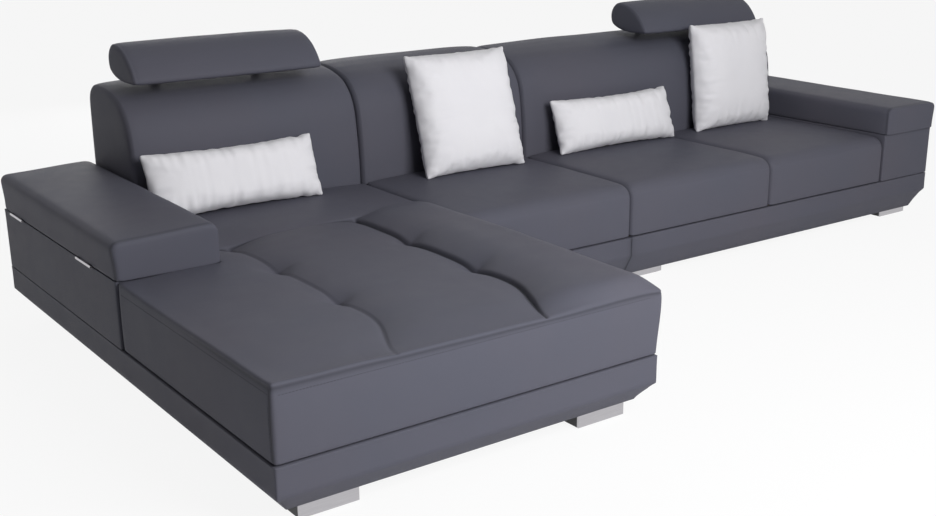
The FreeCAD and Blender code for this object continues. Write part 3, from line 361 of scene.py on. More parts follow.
webbing_cloth = cloth("elastic_webbing", (0.33, 0.28, 0.22, 1), scale=1500.0, depth=0.0004)
underside_cloth = cloth("underside_cloth", (0.03, 0.03, 0.034, 1), scale=2500.0, depth=0.0002)
foam_block = cloth("upholstery_foam", (0.8, 0.73, 0.52, 1), scale=900.0, depth=0.0006)

glide, tree, shader = finish("glide_plastic", Roughness=0.5)
tone = use(tree, drift, Scale=90.0)
link(tree, blend_colour(tree, tone.outputs["Fine"], (0.025, 0.025, 0.027, 1), (0.045, 0.045, 0.048, 1)),
     shader.inputs["Base Color"])

# %% [markdown]
# The parts of the frame that stay in view, such as feet, hinges and boards, keep their own meshes. Each
# takes the finish that belongs to its slot.

# %% Finishes on the frame
SLOT_FINISHES = {
    "grey_leather": slate_leather,
    "pale_fabric": cotton,
    "brushed_steel": steel,
    "dark_steel": hinge_steel,
    "core_timber": black_timber,
    "frame_timber": board_timber,
    "foam": foam_block,
    "webbing": webbing_cloth,
    "dust_cloth": underside_cloth,
    "glide_plastic": glide,
}
used = set()
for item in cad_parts.values():
    slot_name = item.data.materials[0].name.split(".")[0]
    used.add(slot_name)
    for index in range(len(item.data.materials)):
        item.data.materials[index] = SLOT_FINISHES[slot_name]
print("finishes on the frame:", sorted(used))

# %% [markdown]
# ## Tools for padded forms
#
# An upholsterer sews flat panels round a foam block, so each padded form starts as a plain block or an
# outline pushed along one axis. Its edges are rounded, it is cut by rows of planes so that it can bend,
# and then its faces swell and its seams are drawn in. Modifiers could do the swelling, but moving the
# points in code keeps the size under control.

# %% Selecting and cutting
SAME = 1e-5
ROLL_STEPS = ((0.13, 0.5), (0.37, 0.37), (0.5, 0.13))
FOOT_SHARE = 0.04
FOOT_ROWS = (0.0015, 0.005)


def lone(piece):
    """Select one object and nothing else."""
    if bpy.context.object and bpy.context.object.mode != "OBJECT":
        bpy.ops.object.mode_set(mode="OBJECT")
    bpy.ops.object.select_all(action="DESELECT")
    piece.select_set(True)
    bpy.context.view_layer.objects.active = piece


def open_for_edit(piece):
    lone(piece)
    bpy.ops.object.mode_set(mode="EDIT")
    bpy.ops.mesh.select_all(action="SELECT")


def close_edit(piece):
    bpy.ops.object.mode_set(mode="OBJECT")
    return piece


def pick(piece, kind, test):
    """In edit mode, select the edges or faces that pass a test of their corners."""
    bpy.ops.mesh.select_all(action="DESELECT")
    bpy.ops.mesh.select_mode(type=kind)
    mesh = bmesh.from_edit_mesh(piece.data)
    found = 0
    for item in mesh.edges if kind == "EDGE" else mesh.faces:
        if test([v.co for v in item.verts]):
            item.select_set(True)
            found += 1
    bmesh.update_edit_mesh(piece.data)
    return found


def block(name, low, high):
    """A plain block between two corners, with its place in its mesh."""
    bpy.ops.object.select_all(action="DESELECT")
    low = Vector(low)
    high = Vector(high)
    bpy.ops.mesh.primitive_cube_add(size=1, location=(low + high) / 2)
    piece = bpy.context.object
    piece.name = name
    piece.scale = high - low
    bpy.ops.object.transform_apply(location=True, rotation=True, scale=True)
    return piece


def arc(start, end, swell, steps=4):
    """Points from start towards end, on a line that swells to its left."""
    run = math.dist(start, end)
    points = []
    for step in range(steps if swell else 1):
        t = step / steps
        rise = 4 * swell * t * (1 - t)
        points.append((start[0] + (end[0] - start[0]) * t - (end[1] - start[1]) / run * rise,
                       start[1] + (end[1] - start[1]) * t + (end[0] - start[0]) / run * rise))
    return points


def ring(corners):
    """A closed outline through corners, each given with the swell and steps of the side after it."""
    points = []
    for (start, swell, steps), (end, _, _) in zip(corners, corners[1:] + corners[:1]):
        points += arc(start, end, swell, steps)
    return points


AXES = {"x": Vector((1, 0, 0)), "y": Vector((0, 1, 0)), "z": Vector((0, 0, 1))}


def extruded(name, outline, axis, low, high):
    """An outline drawn across one axis and pushed along it."""
    bpy.ops.object.select_all(action="DESELECT")
    bpy.ops.mesh.primitive_circle_add(vertices=len(outline), fill_type="NGON", location=(0, 0, 0))
    piece = bpy.context.object
    piece.name = name
    for vertex, (a, b) in zip(piece.data.vertices, outline):
        vertex.co = {"x": (low, a, b), "y": (a, low, b), "z": (a, b, low)}[axis]
    open_for_edit(piece)
    bpy.ops.mesh.extrude_region_move(TRANSFORM_OT_translate={"value": AXES[axis] * (high - low)})
    bpy.ops.mesh.select_all(action="SELECT")
    bpy.ops.mesh.normals_make_consistent(inside=False)
    return close_edit(piece)


def rounded_ends(piece, axis, low, high, radius):
    """Turns the two flat ends of an extruded form over, in three narrowing steps."""
    index = "xyz".index(axis)
    open_for_edit(piece)
    for place in (low, high):
        pick(piece, "FACE", lambda corners: all(abs(c[index] - place) < SAME for c in corners))
        for inward, outward in ROLL_STEPS:
            bpy.ops.mesh.inset(thickness=radius * inward, depth=radius * outward)
    return close_edit(piece)


def squared_foot(piece, axis, low, high, radius, floor):
    """Presses the lower rim of two turned ends down again, so that they stand square on their foot."""
    index = "xyz".index(axis)

    def pressed(place, normal):
        beyond = max(low - place[index], place[index] - high)
        rise = place.z - floor
        if beyond < SAME or rise > 2 * radius:
            return Vector()
        above = max(0.0, rise - radius)
        wanted = FOOT_SHARE * (rise - above) + (2 - FOOT_SHARE) * above
        return Vector((0, 0, wanted - rise))

    return moved(piece, pressed)


def turned_form(name, outline, axis, low, high, radius, floor=None):
    """An extruded form whose two ends turn over. Where it has a floor, it stands square on that."""
    piece = extruded(name, outline, axis, low + radius, high - radius)
    rounded_ends(piece, axis, low + radius, high - radius, radius)
    if floor is not None:
        squared_foot(piece, axis, low + radius, high - radius, radius, floor)
    return piece


def bevelled(piece, radius, test, segments=3):
    """Rounds the edges that pass a test of their two ends."""
    open_for_edit(piece)
    found = pick(piece, "EDGE", test)
    bpy.ops.mesh.bevel(offset=radius, segments=segments, affect="EDGES", clamp_overlap=True)
    print(piece.name, "has", found, "edges rounded at", round(radius * 1000), "mm")
    return close_edit(piece)


def spaced(low, high, step):
    """Even places strictly between two ends, about a step apart."""
    count = max(1, round((high - low) / step))
    return [low + (high - low) * n / count for n in range(1, count)]


def near(place, spread=(0.0025, 0.009)):
    """A place with its close neighbours on both sides, for a crisp seam."""
    return [place] + [place + side * away for away in spread for side in (-1, 1)]


def between_seams(low, high, step):
    """Even places between the two end seams of a form, and close ones at each seam."""
    return spaced(low, high, step) + near(low) + near(high)


def foot_rows(floor):
    """Places just above a foot, which keep its rim down when the form is rounded."""
    return [floor + away for away in FOOT_ROWS]


def sliced(piece, axis, places):
    """Cuts a form by planes across one axis, so that it can bend there."""
    open_for_edit(piece)
    for place in places:
        bpy.ops.mesh.select_all(action="SELECT")
        bpy.ops.mesh.bisect(plane_co=AXES[axis] * place, plane_no=AXES[axis])
    return close_edit(piece)


# %% Swelling, seams and finishing
TOP_TURN = 0.03


def moved(piece, change):
    """Moves every point by a rule of its place and its outward direction."""
    mesh = piece.data
    normals = [v.normal.copy() for v in mesh.vertices]
    places = [v.co.copy() for v in mesh.vertices]
    for vertex, place, normal in zip(mesh.vertices, places, normals):
        vertex.co = place + change(place, normal)
    mesh.update()
    return piece


def hill(t, flat=2.0):
    """One in the middle and nought at both ends, t from -1 to 1: a higher flat gives a flatter top."""
    return max(0.0, 1 - abs(t) ** flat)


def across(value, low, high):
    """Where a value lies between two ends, from -1 to 1."""
    return (2 * value - low - high) / (high - low)


def smooth(value, low, high):
    """Nought below low, one above high, and an even turn between."""
    t = min(1.0, max(0.0, (value - low) / (high - low)))
    return t * t * (3 - 2 * t)


def at_least(share, t):
    """A factor that is a share at nought and one at one."""
    return share + (1 - share) * t


def fall(distance, reach):
    """One on a line, fading with distance."""
    return math.exp(-(distance / reach) ** 2)


def slack(place, scale, amount):
    """A slow unevenness of leather that isn't stretched tight."""
    return noise.noise(place * scale) * amount


def paint_seam_shade(piece, distance, width=0.003, share=1.0):
    """Stores how near each point is to a seam, which the leather's colour reads as painted shade."""
    # painted shade: the seam value darkens the leather's colour
    layer = piece.data.attributes.get("seam") or piece.data.attributes.new("seam", "FLOAT", "POINT")
    for vertex, item in zip(piece.data.vertices, layer.data):
        item.value = max(item.value, share * fall(distance(vertex.co), width))
    return piece


def seamed(piece, distance, depth=0.003, width=0.006, mark=1.0):
    """Draws a seam in along a line, given as a distance from it, and paints shade along it by the mark.
    """
    moved(piece, lambda place, normal: normal * -depth * fall(distance(place), width))
    if mark:
        paint_seam_shade(piece, distance, share=mark)
    return piece


def end_seams(piece, axis, low, high, depth, width, mark=0):
    """Draws in the seams that run round the two ends of a form."""
    index = "xyz".index(axis)
    for seam in (low, high):
        seamed(piece, lambda place: abs(place[index] - seam), depth, width, mark)


def subdivided(piece):
    """Rounds a form once, and keeps the result."""
    lone(piece)
    modifier = piece.modifiers.new("rounding", "SUBSURF")
    modifier.levels = 1
    modifier.render_levels = 1
    bpy.ops.object.modifier_apply(modifier=modifier.name)
    bpy.ops.object.shade_smooth()
    return piece


def finished(piece, node, body="sofa", cover=slate_leather):
    """Gives a piece its finish, hides the frame part that it takes the place of, and hangs it on the body
    that it moves with.
    """
    piece.data.materials.clear()
    piece.data.materials.append(cover)
    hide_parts(node)
    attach(piece, body)
    print(piece.name, "has", len(piece.data.polygons), "faces")
    return piece


# %% [markdown]
# ## The seats
#
# A straight seat is a block with its front edge rolled over. Its profile is drawn once from the side
# and pushed across the seat. The ends turn over where the side panels are sewn on, and the top and the
# front swell between them.

# %% Straight seats
SEAT_END = 0.018
SEAT_CROWN = 0.015
SEAT_FACE = 0.005
SEAT_SPACING = 0.03
SEAT_ARCH = (0.12, 0.3)
FRONT_ROLL = 0.046
FRONT_SWELL = 0.0135
BESIDE_EDGE = 0.004
JOINT = (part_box("left_base_padding")[1].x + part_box("right_base_padding")[0].x) / 2
JOINT_REACH = 0.006
JOINT_HALF = 0.0001


def to_joint(low, high):
    """Lets a piece that ends at the joint of the modules reach it: clamped modules touch."""
    if abs(low.x - JOINT) < JOINT_REACH:
        low.x = JOINT + JOINT_HALF
    if abs(high.x - JOINT) < JOINT_REACH:
        high.x = JOINT - JOINT_HALF
    return low, high


def straight_seat(name):
    node = name + "_cushion"
    low, high = to_joint(*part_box(node))
    top = high.z - SEAT_CROWN
    face = low.y + SEAT_FACE
    outline = ring([
        ((high.y, low.z), 0, 1),
        ((face, low.z), 0, 1),
        ((face, top - FRONT_ROLL), FRONT_SWELL, 5),
        ((face + FRONT_ROLL, top), 0, 1),
        ((high.y, top), 0, 1),
    ])
    piece = turned_form(name, outline, "x", low.x, high.x, SEAT_END, low.z)
    sliced(piece, "x", spaced(low.x + SEAT_END, high.x - SEAT_END, SEAT_SPACING))
    sliced(piece, "y", [face + BESIDE_EDGE, high.y - BESIDE_EDGE]
           + spaced(low.y + FRONT_ROLL, high.y, SEAT_SPACING))
    sliced(piece, "z", foot_rows(low.z) + spaced(low.z, top - FRONT_ROLL, SEAT_SPACING))

    def swell(place, normal):
        u = across(place.x, low.x, high.x)
        v = across(place.y, low.y - SEAT_ARCH[0], high.y + SEAT_ARCH[1])
        w = smooth(place.z, top - TOP_TURN, top)
        rise = SEAT_CROWN * w * at_least(0.35, hill(u, flat=2.4)) * at_least(0.6, hill(v))
        rise *= at_least(0.25, smooth(place.y, face - 0.01, face + 0.16))
        at_front = 1 - smooth(place.y, face, face + 0.03)
        out = SEAT_FACE * at_front * hill(u, flat=4) * hill(across(place.z, low.z, top))
        drop = 0.006 * w * fall(abs(abs(u) - 1) * (high.x - low.x) / 2, reach=0.012)
        return Vector((0, -out, rise - drop + w * slack(place, scale=5.0, amount=0.0018)))

    moved(piece, swell)
    subdivided(piece)
    finished(piece, node)


for name in ("middle_seat", "inner_right_seat", "outer_right_seat"):
    straight_seat(name)

# %% [markdown]
# ## The chaise
#
# The chaise is one long cushion whose rear part narrows beside the arm. Two sewn channels run from the
# cross seam to the foot end, and each is pulled down at two tufts, so the leather between them rises in
# soft waves. The outline is drawn from above and pushed up, and the top is then shaped by the distance
# from the channels, the tufts and the edges.

# %% Block of the chaise
low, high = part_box("chaise_seat_cushion")
arm_low, arm_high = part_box("left_arm_cover")
front_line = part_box("middle_seat_cushion")[0].y
CHAISE_TOP = high.z - SEAT_CROWN
LEFT_CHANNEL = -1.372
RIGHT_CHANNEL = -0.934
CROSS_SEAM = 0.140
TUFTS = (-0.512, -0.176)
BESIDE_TUFT = (-0.016, -0.006, 0, 0.006, 0.016)
CHAISE_SPACING = 0.026
SIDE_SPACING = 0.028
CORNER_ROLL = 0.009
FOOT_BEVEL = 0.0025
EDGE_ROLL = 0.010
SIDE_BULGE = 0.0015
BESIDE_ARM = 0.002
SIDE_SEAM = CHAISE_TOP - 0.010
CORNER_SEAM = 0.010

west = low.x + SIDE_BULGE
east = high.x - SIDE_BULGE
south = low.y + SIDE_BULGE
arm_side = arm_high.x + BESIDE_ARM
arm_end = arm_low.y - BESIDE_ARM
outline = [(west, south), (east, south), (east, high.y), (arm_side, high.y), (arm_side, arm_end),
           (west, arm_end)]
chaise = extruded("chaise_seat", outline, "z", low.z, CHAISE_TOP)


def upright(corners, place):
    return all(math.dist(c[:2], place) < 10 * SAME for c in corners)


def at_height(corners, height):
    return all(abs(c.z - height) < SAME for c in corners)


def by_arm(corners):
    """True for the edges of the notch that the arm fills, which stay square."""
    return all(c.y > arm_end - 10 * SAME and c.x < arm_side + 10 * SAME for c in corners)


bevelled(chaise, CORNER_ROLL, lambda corners: any(upright(corners, place) for place in outline[:4]))
bevelled(chaise, FOOT_BEVEL, lambda corners: at_height(corners, low.z), segments=2)
bevelled(chaise, EDGE_ROLL, lambda corners: at_height(corners, CHAISE_TOP) and not by_arm(corners))
sliced(chaise, "x", spaced(west + EDGE_ROLL, east - EDGE_ROLL, CHAISE_SPACING)
       + near(LEFT_CHANNEL) + near(RIGHT_CHANNEL))
sliced(chaise, "y", spaced(south + EDGE_ROLL, high.y - EDGE_ROLL, CHAISE_SPACING)
       + [tuft + away for tuft in TUFTS + (CROSS_SEAM,) for away in BESIDE_TUFT]
       + near(south + CORNER_SEAM, (0.002, 0.005)))
sliced(chaise, "z", spaced(low.z, CHAISE_TOP - EDGE_ROLL, SIDE_SPACING)
       + near(SIDE_SEAM, (0.002, 0.006)))

# %% Side seams of the chaise
SEAM_FADE = 0.006
FADE_RUN = (-0.75, -0.2)


def from_side_seam(place):
    """Distance from the seam below the top, which fades out towards the arm."""
    if place.y >= arm_end or place.z >= CHAISE_TOP - 0.003:
        return 1.0
    return abs(place.z - SIDE_SEAM) + SEAM_FADE * smooth(place.y, *FADE_RUN)


def from_corner_seam(place):
    """Distance from the upright seam on the left side, just behind the front corner."""
    if place.x >= west + 0.004 or place.z >= SIDE_SEAM:
        return 1.0
    return abs(place.y - south - CORNER_SEAM)


seamed(chaise, from_side_seam, depth=0.0014, width=0.0035, mark=0.55)
seamed(chaise, from_corner_seam, depth=0.0012, width=0.003, mark=0.7)
print("the chaise has", len(chaise.data.vertices), "points to shape")

# %% Top of the chaise
PANEL_CROWNS = (0.016, 0.020, 0.045)
PANEL_FLATNESS = ((2.2, 2.2), (3.2, 3.2), (2.0, 7.0))
FRONT_RIM = (0.012, -0.002)
FRONT_RIM_WIDE = 0.035
WEST_RIM = 0.009
WEST_RIM_WIDE = 0.05
ARM_RISE = 0.013
ARM_RISE_LONG = 0.16
REAR_CROWN = 0.018
CHANNEL_DEEP = 0.005
CHANNEL_WIDE = 0.03
PINCH_DEEP = 0.004
PINCH_LONG = 0.05
TUFT_DEEP = 0.019
TUFT_WIDE = 0.028
CORNER_SINK = 0.016
CORNER_WIDE = 0.09
CROSS_SINK = 0.005
CROSS_WIDE = 0.012
FOOT_DRAW = 0.098
DRAW_RUN = (0.62, 0.965)
DRAW_WIDE = 0.14
DRAW_BEND = 1.3
EAST_FILL = 0.0135


def channel_shift(x, y):
    """How far the sewn rows are drawn to the left near the foot end."""
    drawn = -FOOT_DRAW * smooth(-y, *DRAW_RUN) ** DRAW_BEND
    return drawn * (fall(x - LEFT_CHANNEL, DRAW_WIDE) + fall(x - RIGHT_CHANNEL, DRAW_WIDE))


def rim_rise(x, y):
    """How far the edge of the top stands up along the foot end and the left side."""
    at_front = math.exp(-max(0.0, y - south) / FRONT_RIM_WIDE)
    at_west = math.exp(-max(0.0, x - west) / WEST_RIM_WIDE) * smooth(arm_end - y, 0.02, 0.25)
    front_rim = FRONT_RIM[0] + (FRONT_RIM[1] - FRONT_RIM[0]) * smooth(x, west, east)
    return front_rim * at_front + WEST_RIM * at_west * (1 - at_front)


def panel_rise(x, y, front):
    """How far the three long panels rise between the sides and the channels."""
    stops = (west, LEFT_CHANNEL, RIGHT_CHANNEL, east)
    panel = max(n for n in range(3) if x >= stops[n] or n == 0)
    u = across(x, stops[panel], stops[panel + 1])
    edge = smooth(x - west, 0, 0.07) * smooth(east - x, 0, 0.03)
    rise = PANEL_CROWNS[panel] * front * at_least(0.35, hill(u, PANEL_FLATNESS[panel][u > 0]))
    rise *= at_least(0.3, edge) * at_least(0.8, smooth(CROSS_SEAM - y, -0.002, 0.09))
    beside_arm = ARM_RISE * fall(arm_end - y, ARM_RISE_LONG)
    beside_arm *= 1 - smooth(x, arm_side - 0.10, arm_side + 0.12)
    return max(rise, beside_arm) if y < arm_end + 0.01 else rise


def channel_sink(x, y, front):
    """How far the channels and their tufts pull the top down."""
    pinch = max(fall(y - stop, PINCH_LONG) for stop in TUFTS + (CROSS_SEAM,))
    along = min(abs(y - tuft) for tuft in TUFTS)
    sink = 0.0
    for channel in (LEFT_CHANNEL, RIGHT_CHANNEL):
        away = abs(x - channel)
        sink += (CHANNEL_DEEP * front + PINCH_DEEP * pinch) * math.exp(-away / CHANNEL_WIDE)
        sink += TUFT_DEEP * math.exp(-math.hypot(away, along) / TUFT_WIDE)
    return sink


def chaise_top(x, y):
    """How far the top rises or sinks at a place seen from above."""
    front = smooth(y, south - 0.01, south + 0.14 - 0.10 * smooth(x, -1.05, -0.75))
    corner = CORNER_SINK * fall(math.dist((x, y), (LEFT_CHANNEL, CROSS_SEAM)), CORNER_WIDE)
    foot = panel_rise(x, y, front) - channel_sink(x, y, front) + rim_rise(x, y)
    rear = REAR_CROWN * at_least(0.4, hill(across(x, arm_side, east), flat=2.4))
    rear *= at_least(0.75, smooth(y, CROSS_SEAM, CROSS_SEAM + 0.08))
    foot_part = 1 - smooth(y, CROSS_SEAM - 0.002, CROSS_SEAM + 0.002)
    seam_drop = CROSS_SINK * math.exp(-abs(y - CROSS_SEAM) / CROSS_WIDE)
    return foot * foot_part + rear * (1 - foot_part) - corner - seam_drop


def chaise_swell(place, normal):
    w = smooth(place.z, CHAISE_TOP - TOP_TURN, CHAISE_TOP)
    rise = w * (chaise_top(place.x, place.y) + slack(place, scale=4.0, amount=0.002)
                + slack(place, scale=14.0, amount=0.0012))
    bulge = SIDE_BULGE * hill(across(place.z, low.z, CHAISE_TOP)) * (1 - w)
    free_east = smooth(place.x, east - 0.05, east) * smooth(front_line - place.y, 0, 0.08)
    fill = EAST_FILL * free_east * smooth(place.z, low.z, CHAISE_TOP - 0.02)
    sideways = normal.x * bulge + channel_shift(place.x, place.y) * w + fill
    return Vector((sideways, normal.y * bulge, rise))


moved(chaise, chaise_swell)
print("the top rises to", round(max(v.co.z for v in chaise.data.vertices), 3), "metres")

# %% Sewn rows of the chaise


def from_channel(channel):
    """Distance from a sewn channel, which ends at the cross seam and at the foot end."""
    def distance(place):
        if place.y > CROSS_SEAM + 0.002 or place.z < CHAISE_TOP - 0.04 or place.y < south + 0.002:
            return 1.0
        return abs(place.x - channel - channel_shift(channel, place.y))
    return distance


def from_cross_seam(place):
    return abs(place.y - CROSS_SEAM) if place.z > CHAISE_TOP - 0.05 else 1.0


seamed(chaise, from_channel(RIGHT_CHANNEL), depth=0.003, width=0.0045)
seamed(chaise, from_channel(LEFT_CHANNEL), depth=0.002, width=0.007, mark=0)
seamed(chaise, from_cross_seam, depth=0.0025, width=0.005)
subdivided(chaise)
finished(chaise, "chaise_seat_cushion")

# %% [markdown]
# ## Top stitching
#
# Rows of thread run just below the top seam of the chaise, along its front and its left side, and
# another down its front corner. One stitch is a small rounded block, an array modifier repeats it along
# the row, and each stitch is then laid on the leather behind it.

# %% Stitches on the chaise
STITCH_LONG = 0.0055
STITCH_STEP = 0.0085
STITCH_THICK = 0.0011
STITCH_DROP = 0.007
STITCH_NEAR_SEAM = 0.0016
ROW_MARGIN = 0.02


def stitch_row(name, start, along, length, facing):
    """Stitches from a start along an axis, on the leather that lies behind them."""
    start = Vector(start)
    size = AXES[along] * (STITCH_LONG - STITCH_THICK) + Vector((STITCH_THICK,) * 3)
    row = block(name, start - size / 2, start + size / 2)
    bevelled(row, STITCH_THICK * 0.3, lambda corners: True, segments=1)
    lone(row)
    repeat = row.modifiers.new("repeat", "ARRAY")
    repeat.count = int(length / STITCH_STEP)
    repeat.use_relative_offset = False
    repeat.use_constant_offset = True
    repeat.constant_offset_displace = AXES[along] * STITCH_STEP
    bpy.ops.object.modifier_apply(modifier=repeat.name)
    index = "xyz".index(facing)

    def laid(place, normal):
        outside = place.copy()
        outside[index] -= 0.1
        hit, spot, _, _ = chaise.ray_cast(outside, AXES[facing])
        return AXES[facing] * (spot[index] - start[index]) if hit else Vector()

    moved(row, laid)
    # painted shade: every stitch takes most of the seam's painted shade, as if it lay close to a seam
    paint_seam_shade(row, lambda place: STITCH_NEAR_SEAM)
    bpy.ops.object.shade_smooth()
    finished(row, "chaise_seat_cushion")


row_height = SIDE_SEAM - STITCH_DROP
stitch_row("front_stitches", (west + ROW_MARGIN, south, row_height), "x",
           east - west - 2 * ROW_MARGIN, "y")
stitch_row("side_stitches", (west, south + ROW_MARGIN, row_height), "y",
           arm_end - south - 2 * ROW_MARGIN, "x")
stitch_row("corner_stitches", (west, south + CORNER_SEAM + 0.006, low.z + 0.012), "z",
           SIDE_SEAM - low.z - 2 * ROW_MARGIN, "x")

# %% [markdown]
# ## The backs
#
# A back stands on the base and leans into a round top. The profile is drawn from the side, with its
# belly, brow and crest, and pushed along the sofa. Each end turns over into a side panel.

# %% Back cushions
BACK_END = 0.022
BACK_CROWN = 0.017
BACK_FACE = 0.008
BACK_SPACING = 0.034
BACK_BODY = (0.36, 0.62)
BELLY_HEIGHT = 0.351
BROW = (0.022, 0.132)
CREST = (0.124, 0.022)
SHOULDER = (0.07, 0.062)


def back(name):
    node = name + "_cushion"
    low, high = to_joint(*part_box(node))
    rear = high.y
    top = high.z - BACK_CROWN
    face = low.y + BACK_FACE
    outline = ring([
        ((rear, low.z), 0, 1),
        ((face, low.z), 0, 1),
        ((face, BELLY_HEIGHT), 0.006, 6),
        ((face + BROW[0], top - BROW[1]), 0.019, 5),
        ((face + CREST[0], top - CREST[1]), 0.008, 3),
        ((rear - SHOULDER[0], top), 0.020, 6),
        ((rear, top - SHOULDER[1]), 0, 1),
    ])
    piece = turned_form(name, outline, "x", low.x, high.x, BACK_END, low.z)
    seams = (low.x + BACK_END, high.x - BACK_END)
    sliced(piece, "x", between_seams(*seams, BACK_SPACING))
    sliced(piece, "z", foot_rows(low.z) + spaced(low.z, BELLY_HEIGHT, BACK_SPACING)
           + spaced(*BACK_BODY, 0.03))
    sliced(piece, "y", [face + BESIDE_EDGE, rear - BESIDE_EDGE] + spaced(face + 0.05, rear, 0.05))

    def swell(place, normal):
        u = across(place.x, low.x, high.x)
        free = smooth(place.z, low.z + 0.01, BACK_BODY[0]) * (0.2 if normal.y > 0.8 else 1)
        return normal * free * (BACK_FACE * hill(u, flat=5) + slack(place, scale=3.5, amount=0.003))

    moved(piece, swell)
    end_seams(piece, "x", *seams, depth=0.0012, width=0.006)
    subdivided(piece)
    finished(piece, node)


for name in ("left_back", "middle_back", "right_back"):
    back(name)

# %% [markdown]
# ## The headrests
#
# Each headrest is a long round-fronted pad with a D-shaped panel sewn into each end. Its underside rises
# towards the rear, which leaves room for the hinge straps that come out of the back.

# %% Headrests
HEAD_PLACE = (0.7035, 0.845)
HEAD_END = 0.014
HEAD_OUTLINE = [
    ((0.098, -0.033), 0.006, 3),
    ((0.0, -0.060), 0, 1),
    ((-0.095, -0.060), 0.004, 3),
    ((-0.110, -0.045), 0.031, 8),
    ((0.070, 0.059), 0.022, 6),
]


def headrest(side):
    node = side + "_headrest_cushion"
    low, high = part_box(node)
    outline = [(HEAD_PLACE[0] + a, HEAD_PLACE[1] + b) for a, b in ring(HEAD_OUTLINE)]
    piece = turned_form(side + "_headrest", outline, "x", low.x, high.x, HEAD_END)
    seams = (low.x + HEAD_END, high.x - HEAD_END)
    sliced(piece, "x", between_seams(*seams, 0.03))
    sliced(piece, "y", spaced(low.y + 0.03, high.y - 0.03, 0.03))

    def swell(place, normal):
        free = 0.3 if normal.z < -0.7 else 1
        full = 0.003 * hill(across(place.x, low.x, high.x), flat=5)
        return normal * free * (full + slack(place, scale=6.0, amount=0.0016))

    moved(piece, swell)
    end_seams(piece, "x", *seams, depth=0.0018, width=0.004)
    subdivided(piece)
    finished(piece, node, side + "_headrest")


headrest("left")
headrest("right")

# %% [markdown]
# ## The arms
#
# An arm is a storage box in a leather cover, with a padded lid. The cover is a block whose top is inset,
# pushed down a little way and opened, so that the box inside shows when the lid is up. Its bottom is
# opened too, and the walls then get the leather's thickness.

# %% Arm covers
RIM_WIDE = 0.0225
RIM_DEEP = 0.045
RIM_RISE = 0.0030
RIM_EDGE = 0.004
ARM_EDGE = 0.006
HEM_WIDE = 0.004
OUTER_RISE = 0.0022
LEATHER_THICK = 0.0012
LEAF_HALF = 0.03


def arm_cover(side):
    node = side + "_arm_cover"
    low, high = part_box(node)
    piece = block(side + "_arm_panels", low, high)
    bevelled(piece, ARM_EDGE, lambda corners: abs(corners[0].z - corners[1].z) > 0.1)
    open_for_edit(piece)
    pick(piece, "FACE", lambda corners: min(c.z for c in corners) > high.z - SAME)
    bpy.ops.mesh.inset(thickness=RIM_WIDE, depth=0)
    bpy.ops.mesh.extrude_region_move(TRANSFORM_OT_translate={"value": (0, 0, -RIM_DEEP)})
    bpy.ops.mesh.delete(type="FACE")
    pick(piece, "FACE", lambda corners: max(c.z for c in corners) < low.z + SAME)
    bpy.ops.mesh.inset(thickness=HEM_WIDE, depth=0)
    bpy.ops.mesh.delete(type="FACE")
    close_edit(piece)
    bevelled(piece, RIM_EDGE, lambda corners: at_height(corners, high.z), segments=2)
    sliced(piece, "z", spaced(low.z, high.z - RIM_DEEP, 0.03) + [low.z + 0.002])
    sliced(piece, "y", spaced(low.y + 0.02, high.y - 0.02, 0.05))
    sliced(piece, "x", spaced(low.x + 0.03, high.x - 0.03, 0.03))
    lone(piece)
    modifier = piece.modifiers.new("leather", "SOLIDIFY")
    modifier.thickness = LEATHER_THICK
    modifier.offset = -1
    bpy.ops.object.modifier_apply(modifier=modifier.name)
    subdivided(piece)
    outer = low.x if side == "left" else high.x
    leaf_low, leaf_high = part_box(side + "_lid_hinge_lower_leaves")

    def rim(place, normal):
        """Lifts the rim to the lid, but not under the hinge leaves at the outer side."""
        middle = min(abs(place.y - leaf_low.y - LEAF_HALF), abs(place.y - leaf_high.y + LEAF_HALF))
        beside = OUTER_RISE * smooth(middle, LEAF_HALF + 0.004, LEAF_HALF + 0.02)
        clear = smooth(abs(place.x - outer), 0.045, 0.06)
        rise = 0.001 + RIM_RISE * clear + beside * (1 - clear)
        return Vector((0, 0, rise * smooth(place.z, high.z - 0.012, high.z)))

    moved(piece, rim)
    finished(piece, node)


# %% [markdown]
# A lid is a padded block with rolled long edges. In the photograph the leather stands a little fuller
# over the inner side and towards the rear.

# %% Lids
LID_LOWER = 0.0025
LID_ROLL = 0.026
LID_END = 0.014
LID_CROWN = 0.004
LID_SIDE = 0.002
LID_LEAN = 0.008
LID_FULL = 0.009
LID_REAR = 0.007
RIGHT_LID_SHARE = 0.2


